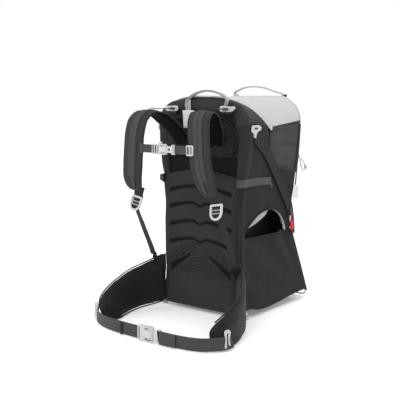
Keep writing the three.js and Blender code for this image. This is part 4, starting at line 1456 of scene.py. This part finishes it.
def build_handles():
    grip = [
        (-51, 660), (-51, 681), (-34, 695), (-8, 706), (22, 711), (54, 708), (83, 699), (103, 684),
        (99, 666), (92, 646)
    ]
    path = spline([(x, -9.5, z) for x, z in grip], 110)
    share = np.linspace(0, 1, 110)
    wide = 1 + 0.9 * (1 - smooth(share, 0.0, 0.14)) + 0.5 * smooth(share, 0.8, 0.95)
    size = np.stack([wide, 1 / wide**0.6], axis=1)
    face = unit(np.cross(unit(np.gradient(path, axis=0)), TO_WEARER))
    sweep(
        "front_grip", path, face, web_section(11, 5.2), PALE_WEB, size=size, replaces="front_handle",
        slot="grey_webbing"
    )
    run = [(-51, -8.0, 640), (-51, -8.6, 654), (-51, -9.2, 668), (-51, -9.5, 686)]
    webbing("front_grip_anchor", run, TO_WEARER, 21, 2.4, PALE_WEB, 16)
    box = densify(
        [(-58, -10.0, 643), (-44, -10.0, 643), (-44, -10.0, 655), (-58, -10.0, 655), (-58, -10.0, 643)], 2,
        False
    )
    stitches("front_grip_box", box, TO_WEARER, pitch=3, length=2.2)
    grip = [(-90, 695), (-103, 702), (-72, 720), (-26, 727), (20, 723), (66, 709), (98, 698), (104, 684)]
    path = spline([(x, 318, z) for x, z in grip], 90)
    face = unit(np.cross(unit(np.gradient(path, axis=0)), TO_WEARER))
    sweep(
        "rear_grip", path, face, web_section(14, 4.6), PALE_WEB, replaces="rear_handle", slot="grey_webbing"
    )
    for x, label, material in ((-94, "left", PALE_WEB), (104, "right", WEBBING)):
        run = [(x, 311.5, 660), (x, 312.5, 674), (x, 314, 688), (x, 316, 700)]
        webbing(f"rear_grip_anchor_{label}", run, (0, 1, 0), 20, 2.2, material, 16)
    tag = densify([(-68, 650), (-62, 594), (-26, 592), (-20, 650)], 8)

    def lay(u, v):
        return np.stack([u, -16.4 - 1.6 * smooth(-v, -648, -600) - 0.8 * lumps(u, v, 40, 5), v], axis=1)

    label = patch("front_label", tag, 5, lay, WHITE_TAG)
    thicken(label, 0.8)
    declare_sheet(label, 51, 62)


# ---------------------------------------------------------------- rear: panel, pocket and corner sleeves
def rear_half(z):
    return table(
        [
            (304, 150), (400, 157), (500, 162), (600, 166), (628, 161), (645, 152), (666, 132), (682, 106),
            (686, 60)
        ],
        z
    )


def build_rear():
    levels = np.linspace(266, 684, 72)
    share = np.linspace(-1, 1, 61)
    x = rear_half(levels)[:, None] * share[None]
    z = levels[:, None] + 0 * x
    y = rear_y(z) + 8.6 + 1.2 * lumps(x, z, 85, 81)
    panel = grid(
        "rear_cloth", np.stack([x, y, z], axis=2), CHARCOAL, replaces="rear_panel", slot="charcoal_fabric"
    )
    thicken(panel, CLOTH)
    declare_sheet(panel, 330, 420)
    band = np.stack([share * 100, rear_y(640) + 10.6 + 0 * share, 640 + 0 * share], axis=1)
    webbing("rear_reflector", band, (0, 1, 0), 12, 1.2, PALE_WEB, 40)

    half = [(0, 330), (96, 331), (116, 350), (121, 420), (124, 556), (112, 584), (90, 594), (0, 596)]
    outline = mirrored_outline(half, 60)
    centre = np.array([0, 463.0])
    layers = [
        (1.0, 0.5), (1.0, 8), (0.985, 17), (0.95, 23), (0.86, 26.5), (0.7, 28.5), (0.45, 30), (0.2, 30.6),
        (0.02, 30.8)
    ]
    rings = []
    for scale, depth in layers:
        flat = centre + (outline - centre) * scale
        taper = 0.78 + 0.22 * np.sin(np.clip((flat[:, 1] - 324) / 276, 0, 1) * math.pi) ** 0.5
        rings.append(np.stack(
            [flat[:, 0], rear_y(flat[:, 1]) + 9.6 + depth * taper * 0.86, flat[:, 1]], axis=1
        ))
    rings = np.array(rings)
    pocket = grid("pocket_cloth", rings, CHARCOAL, wrap=True, caps=True, body=None)
    inflate(pocket, 6, 3.0, 4.0)
    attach(pocket, "root")
    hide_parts("rear_pocket")
    piping = np.vstack([rings[1], rings[1][:1]])
    cord("pocket_piping", piping[::2], 2.0, BINDING, 200, 8)
    zip_line = flat_curve([(-112, 566), (-60, 572), (0, 574), (60, 572), (112, 566)], 90)
    lift = rear_y(zip_line[:, 1]) + 9.6 + 21.5 + 5.0 * (1 - (np.abs(zip_line[:, 0]) / 116) ** 2)
    path = np.stack([zip_line[:, 0], lift, zip_line[:, 1]], axis=1)
    sweep("pocket_zip_tape", path, (0, 1, 0.05), web_section(16, 1.4), BINDING)
    stitches(
        "pocket_zip_teeth", path + (0, 0.9, 0), (0, 1, 0), pitch=2.6, length=1.7, width=4.2, lift=0.3,
        material=ZIP_TEETH
    )
    plate(
        "pocket_zip_slider", [rounded(9, 12, 2.5)], 4, 1.2, tuple(path[76] + (0, 2.4, 0)), (-1, 0, 0),
        (0, 0, 1), GREY_PLASTIC
    )
    pull = [path[76] + (0, 4.4, -4), path[76] + (0, 5.4, -14), path[76] + (0, 4.6, -30)]
    cord("pocket_zip_cord", pull, 1.6, PALE_WEB, 20, 8)
    for side, label in SIDES:
        z = np.linspace(262, 604, 66)
        y, x = rear_y(z), rear_x(z)
        lap = 26 - 18 * smooth(z, 440, 470)
        wrap = side_x(y - lap, z)
        columns = [
            (wrap + 2.4, y - lap), (side_x(y - lap / 2, z) + 3.2, y - lap / 2), (x + 9.6, y - 2),
            (x + 8, y + 5), (x + 2, y + 9.2), (x - 8, y + 10.4), (x - 18, y + 10.2)
        ]
        points = upright_cloth(side, z, columns)
        corner = grid(f"rear_corner_{label}", points, SLEEVE)
        thicken(corner, CLOTH, 0, 1)
        declare_sheet(corner, 62, 342)
        seam = np.stack([side * (wrap + 4.0), y - lap + 2, z], axis=1)
        stitches(f"rear_corner_stitch_{label}", seam, (side, 0, 0))
        lash = [
            (side * 60, float(rear_y(318)) + 12, 318), (side * 100, float(rear_y(326)) + 12.5, 326),
            (side * 150, float(rear_y(340)) + 11.5, 340)
        ]
        webbing(f"rear_lash_{label}", lash, (0, 1, 0), 20, 1.8, WEBBING, 24)


def build_lower_bag():
    levels = np.linspace(36, 272, 40)
    share = np.linspace(-1, 1, 49)
    half = table([(36, 166), (272, 156)], levels)
    x = half[:, None] * share[None]
    z = levels[:, None] + 0 * x
    y = kick_y(z) + 5.4 + 3.2 * lumps(x, z, 120, 91) * np.cos(share * math.pi / 2)[None] ** 0.5
    cloth = grid(
        "lower_rear_cloth", np.stack([x, y, z], axis=2), CHARCOAL, body=None, replaces="lower_rear_panel",
        slot="charcoal_fabric"
    )
    declare_sheet(cloth, 330, 262)
    thicken(cloth, CLOTH)
    u = np.linspace(12, 352, 44)
    x = np.linspace(-1, 1, 33)[:, None] * (table([(12, 150), (352, 166)], u))[None]
    y = u[None] + 0 * x
    fade = np.cos(np.linspace(-1, 1, 33) * math.pi / 2)[:, None]
    z = 22 + (y - 18) * 0.032 + 2.5 * lumps(x, y, 120, 92) * fade
    floor = grid(
        "cargo_floor_cloth", np.stack([x, y, z], axis=2), CHARCOAL, body=None, replaces="cargo_floor",
        slot="charcoal_fabric"
    )
    declare_sheet(floor, 330, 342)
    thicken(floor, CLOTH)
    low = [(x, float(kick_y(z)) + 6, z) for x, z in ((-160, 38), (0, 36), (160, 38))]
    hem = cord("lower_rear_hem", low, 2.4, BINDING, 60, 8, body=None)
    for piece in (cloth, floor, hem):
        fold_with_stand(piece)


# ---------------------------------------------------------------- child's seat
def slab(name, outline, y_near, y_far, material, **options):
    """A soft slab with rounded edges from an outline in x and z."""
    outline = np.asarray(outline, float)
    centre = outline.mean(axis=0)
    thick = y_far - y_near
    rings = []
    for scale, depth in (
        (0.03, 0.0), (0.5, 0.0), (0.86, 0.03), (0.96, 0.14), (1.0, 0.5), (0.96, 0.86), (0.86, 0.97),
        (0.5, 1.0), (0.03, 1.0)
    ):
        flat = centre + (outline - centre) * scale
        rings.append(np.stack([flat[:, 0], y_near + thick * depth + 0 * flat[:, 0], flat[:, 1]], axis=1))
    piece = grid(name, np.array(rings), material, wrap=True, caps=True, body=None)
    inflate(piece, 5, 3.0, 3.0)
    finish_piece(piece, **options)
    return piece


def build_seat():
    back = [
        (-88, 272), (0, 270), (88, 272), (104, 300), (105, 420), (104, 536), (80, 560), (0, 562),
        (-80, 560), (-104, 536), (-105, 420), (-104, 300)
    ]
    slab(
        "child_back", closed_curve(back, 100), 235, 250, LINING, body="seat", replaces="child_back_pad",
        slot="black_fabric"
    )
    u = np.linspace(60, 234, 30)
    cross = [
        (-136, 219), (-98, 229), (-62, 246), (-40, 262), (0, 266), (40, 262), (62, 246), (98, 229),
        (136, 219)
    ]
    top = flat_curve(cross, 46)
    rows = []
    for y in u:
        dip = 6 * math.sin((y - 60) / 174 * math.pi)
        rows.append([(x, y, z - dip * math.cos(x / 136 * math.pi / 2)) for x, z in top])
    under = [[(x, y, z - 8 - 5 * math.cos(x / 140 * math.pi / 2)) for x, y, z in row[::-1]] for row in rows]
    shell = np.concatenate([np.array(rows), np.array(under)], axis=1)
    pad = grid("seat_cushion", shell, LINING, wrap=True, caps=True, body=None)
    inflate(pad, 5, 3.0, 3.0)
    finish_piece(pad, "seat", "seat_pad", "black_fabric")
    for side, label in SIDES:
        run = [
            (side * x, y, z) for x, y,
            z in ((22, 231, 540), (34, 228, 500), (38, 229, 440), (36, 229, 380), (40, 230, 310))
        ]
        options = dict(replaces="child_harness", slot="webbing") if side > 0 else {}
        webbing(f"child_strap_{label}", run, TO_WEARER, 26, 5, STRAP_FACE, 40, body="seat", **options)
    chest = [(-42, 225, 430), (0, 223, 430), (42, 225, 430)]
    webbing("child_chest_web", chest, TO_WEARER, 20, 1.8, WEBBING, 20, body="seat")
    frontal_plate("child_clasp", [rounded(44, 30, 8)], 9, 3, 219, 430, GREY_PLASTIC, body="seat")


# ---------------------------------------------------------------- hip belt
HIP_BUCKLE_Y, HIP_BUCKLE_Z = -344, 23.5
# Top and bottom edges of each hip wing; both lean outwards towards the top.
WINGS = {
    "left": (
        [
            (-147, -8, 177), (-172, -34, 162), (-196, -66, 146), (-216, -104, 131), (-230, -146, 109),
            (-234, -190, 88), (-225, -232, 69), (-202, -266, 60), (-180, -288, 58), (-160, -300, 58)
        ],
        [
            (-147, -8, 17), (-165, -50, 10), (-178, -90, 6), (-178, -135, 4.5), (-166, -185, 4.5),
            (-152, -228, 4.5), (-152, -258, 4.5), (-154, -278, 4.5), (-154, -292, 5)
        ],
    ),
    "right": (
        [
            (147, -8, 177), (166, -22, 172), (194, -54, 167), (238, -116, 150), (268, -180, 126),
            (277, -232, 106), (269, -276, 84), (250, -297, 64)
        ],
        [
            (147, -8, 17), (168, -34, 13), (194, -60, 8), (240, -118, 4.5), (272, -180, 4.5),
            (287, -236, 4.5), (284, -282, 4.5), (260, -302, 5)
        ],
    ),
}


def build_wing(side, label):
    top, bottom = (spline(line, 64) for line in WINGS[label])
    middle, up = (top + bottom) / 2, unit(top - bottom)
    half = np.linalg.norm(top - bottom, axis=1) / 2
    tangent = unit(np.gradient(middle, axis=0))
    out = unit(np.cross(up, tangent)) * side
    run = run_length(middle)
    close = np.sqrt(np.clip(1 - (1 - np.clip((run[-1] - run) / 34, 0, 1)) ** 2, 0.02, 1))
    half = half * (0.5 + 0.5 * close)
    turn = np.linspace(0, 2 * math.pi, 44, endpoint=False)
    c, s = np.cos(turn), np.sin(turn)
    rings = []
    for k in range(len(middle)):
        rise = np.sign(s) * np.abs(s) ** 0.34 * half[k]
        thick = np.sign(c) * np.abs(c) ** 0.55 * 8.2 * (0.4 + 0.6 * close[k])
        wave = 1.2 * lumps(np.full(44, run[k]), rise, 75, 41 + side)
        crease = bell(rise / half[k] - 0.1 - 0.3 * math.sin(run[k] / 90), 0, 0.08)
        fold = -2.2 * crease * smooth(run[k], 50, 90) * (1 - smooth(run[k], 150, 190))
        rings.append(middle[k] + out[k] * (thick + wave + np.sign(c) * fold)[:, None] + up[k] * rise[:, None])
    wing = grid(f"wing_{label}", np.array(rings), CHARCOAL, wrap=True, caps=True, body=None)
    inflate(wing, 5, 4.0, 3.0)
    finish_piece(wing, "root", f"hip_wing_{label}", "charcoal_fabric")
    wing.data.materials.append(LINING)
    centres = np.array([polygon.center for polygon in wing.data.polygons]) / MM + CENTRE
    nearest = np.array([int(np.argmin(((middle - spot) ** 2).sum(axis=1))) for spot in centres])
    inward = ((centres - middle[nearest]) * out[nearest]).sum(axis=1) < 0.8
    wing.data.polygons.foreach_set("material_index", inward.astype(int).tolist())
    for edge, name in ((1, "top"), (-1, "low")):
        rim = middle + up * (edge * (half + 0.6))[:, None]
        cord(f"wing_piping_{label}_{name}", rim[2:-2:3], 2.3, BINDING, 90, 8)
    for face, name in ((1, "out"), (-1, "in")):
        for edge in (1, -1):
            row = middle + out * (face * 9.2) + up * (edge * (half - 12))[:, None]
            stitches(f"wing_stitch_{label}_{name}_{'a' if edge > 0 else 'b'}", row[4:-8], out[4:-8] * face)
    cover = middle + out * 10.0 - up * (0.15 * half)[:, None]
    sweep(f"wing_band_{label}", cover[8:-8], out[8:-8], web_section(40, 1.8), SLEEVE)


def build_belt():
    for side, label in SIDES:
        build_wing(side, label)
    ring = [
        (-6, -26), (6, -26), (9, -22), (8, -10), (6.5, 0), (8, 10), (9, 22), (6, 26), (-6, 26), (-9, 22),
        (-8, 10), (-6.5, 0), (-8, -10), (-9, -22)
    ]
    for x, y, turn, label in ((300, -274, 1.15, "right"), (-191, -290, -0.25, "left")):
        right = (math.cos(turn), math.sin(turn), 0)
        loops = [closed_curve(ring, 50), rounded(5, 37, 2)]
        plate(
            f"loop_{label}", loops, 6, 1.8, (x, y, 34), right, (0, 0, 1), PLASTIC,
            replaces=f"belt_loop_{label}", slot="plastic"
        )
    left = [
        (-190, -284, 28), (-180, -298, 25), (-164, -310, 23), (-144, -319, 22), (-88, -336, 22),
        (-30, -341, 22), (36, -343.5, 22)
    ]
    webbing(
        "belt_web_left", left, (-0.35, -1, 0), BELT_WIDTH, 2.2, WEBBING, 70, replaces="belt_webbing_left",
        slot="webbing"
    )
    right = [
        (305, -258, 28), (300, -276, 25), (280, -302, 23), (252, -326, 22), (221, -338, 22),
        (170, -345, 22), (120, -346, 22)
    ]
    web = webbing(
        "belt_web_right", right, (0.4, -1, 0), BELT_WIDTH, 2.2, WEBBING, 70, body=None,
        replaces="belt_webbing_right", slot="webbing"
    )
    fold = metres([(232, -334, 22)])[0], metres([(136, -346, 22)])[0]
    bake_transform(web)
    second = [(176, -348.6, 22), (160, -349.2, 22), (140, -350, 22), (118, -350, 22)]
    tail = webbing("belt_tail_right", second, (0.1, -1, 0), BELT_WIDTH, 2.6, WEBBING, 30, body=None)
    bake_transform(tail)
    keeper = [(-34, -343.5, 1.5), (-34, -345.5, 22), (-34, -343.5, 42)]
    webbing("belt_keeper", keeper, TO_WEARER, 9, 2, DARK_WEB, 12)
    shell = [
        (36, 3), (42, 1.6), (80, 1.2), (89, 4), (93.6, 9), (93.6, 37), (89, 42), (80, 45), (42, 46),
        (36, 44)
    ]
    shell = [(x, z - HIP_BUCKLE_Z) for x, z in shell]
    windows = [
        rounded(24, 6.5, 2.5, centre=(75, 15.8)), rounded(24, 6.5, 2.5, centre=(75, -16)),
        rounded(4.4, 34, 1.8, centre=(41.6, 0))
    ]
    frontal_plate(
        "hip_female_shell", [shell, *windows], 13, 3.2, HIP_BUCKLE_Y, HIP_BUCKLE_Z, PLASTIC,
        replaces="hip_buckle_female", slot="plastic"
    )
    ridge = [(52, -9), (60, -11.5), (88, -11.5), (88, 11.5), (60, 11.5), (52, 9)]
    frontal_plate("hip_female_ridge", [ridge], 2.6, 1.1, HIP_BUCKLE_Y - 7, HIP_BUCKLE_Z, PLASTIC)
    male = [
        (94.4, -14), (101, -14.5), (106, -20), (119, -20), (119, 20), (106, 20), (101, 14.5), (94.4, 14)
    ]
    slot = rounded(4.4, 32, 1.8, centre=(112.6, 0))
    frontal_plate(
        "hip_male_part", [male, slot], 10, 2.6, HIP_BUCKLE_Y, HIP_BUCKLE_Z, PLASTIC, body="hip_male",
        replaces="hip_buckle_male", slot="plastic"
    )
    for edge, name in ((1, "up"), (-1, "down")):
        prong = [(66, edge * 12.5), (74, edge * 18.6), (94, edge * 12.5), (94, edge * 8.5), (70, edge * 10)]
        prong = prong if edge < 0 else prong[::-1]
        frontal_plate(
            f"hip_prong_{name}", [prong], 6, 1.4, HIP_BUCKLE_Y, HIP_BUCKLE_Z, PLASTIC, body="hip_male"
        )


def build_small_parts():
    tab = [(252, 312), (248, 282), (250, 254), (262, 256), (267, 284), (264, 309)]
    plate(
        "release_pull", [closed_curve(tab, 40)], 3.4, 1.0, (177, 0, 0), (0, 1, 0), (0, 0, 1), RED,
        body="release_tab", replaces="release_tab", slot="red_webbing"
    )
    strap = [(176, 250, 330), (177.5, 254, 312), (178, 260, 296), (177, 266, 268), (176, 270, 240)]
    webbing("release_strap", strap, (1, 0, 0.1), 16, 1.8, WEBBING, 30, body="release_tab")
    loop = [(311, 492), (326, 484), (346, 468), (353, 454), (344, 446), (330, 454), (322, 470), (316, 484)]
    cord(
        "zip_cord", [(168, y, z) for y, z in loop], 1.8, PALE_WEB, 90, 10, body="zip_pull",
        replaces="zip_pull", slot="grey_webbing"
    )
    lathe(
        "zip_bead", [(1, 0), (3.6, 0.4), (4.4, 3), (4.2, 9), (3.2, 13), (1, 13.4)], (168, 351, 462),
        (0, 0.45, -0.9), PALE_WEB, 16, body="zip_pull"
    )
    plate(
        "zip_slider", [rounded(10, 13, 3)], 5, 1.4, (168, 305, 495), (0, 1, 0), (0, 0, 1), GREY_PLASTIC,
        body="zip_pull"
    )
    corner = flat_curve([(296, 598), (292, 540), (286, 496), (279, 452), (274, 412), (266, 360)], 80)
    path = np.stack([171.5 + 0 * corner[:, 0], corner[:, 0] + 12, corner[:, 1]], axis=1)
    sweep("corner_zip_tape", path, (0.72, 0.69, 0), web_section(14, 1.4), BINDING)
    stitches(
        "corner_zip_teeth", path + (0.7, 0.6, 0), (0.72, 0.69, 0), pitch=2.6, length=1.7, width=3.8,
        lift=0.3, material=ZIP_TEETH
    )
    tag = densify([(262, 404), (292, 400), (290, 356), (258, 361)], 8)

    def lay(u, v):
        return np.stack([178.5 + 1.5 * lumps(u, v, 40, 7), u, v], axis=1)

    label = patch("side_label", tag, 5, lay, WHITE_TAG)
    thicken(label, 0.8)
    declare_sheet(label, 34, 48)
    frontal_plate("edge_clasp", [rounded(16, 22, 4, centre=(-152, 431))], 7, 2.2, -20, 0, DARK_PLASTIC)


build_frame()
build_back_panel()
build_hoop_sleeves()
build_upper_back()
for side, label in SIDES:
    build_strap(side, label)
    build_strap_end(side, label)
    build_lifters(side, label)
    build_side(side, label)
    build_gusset(side, label)
build_sternum()
build_roof()
build_handles()
build_rear()
build_lower_bag()
build_seat()
build_belt()
build_small_parts()
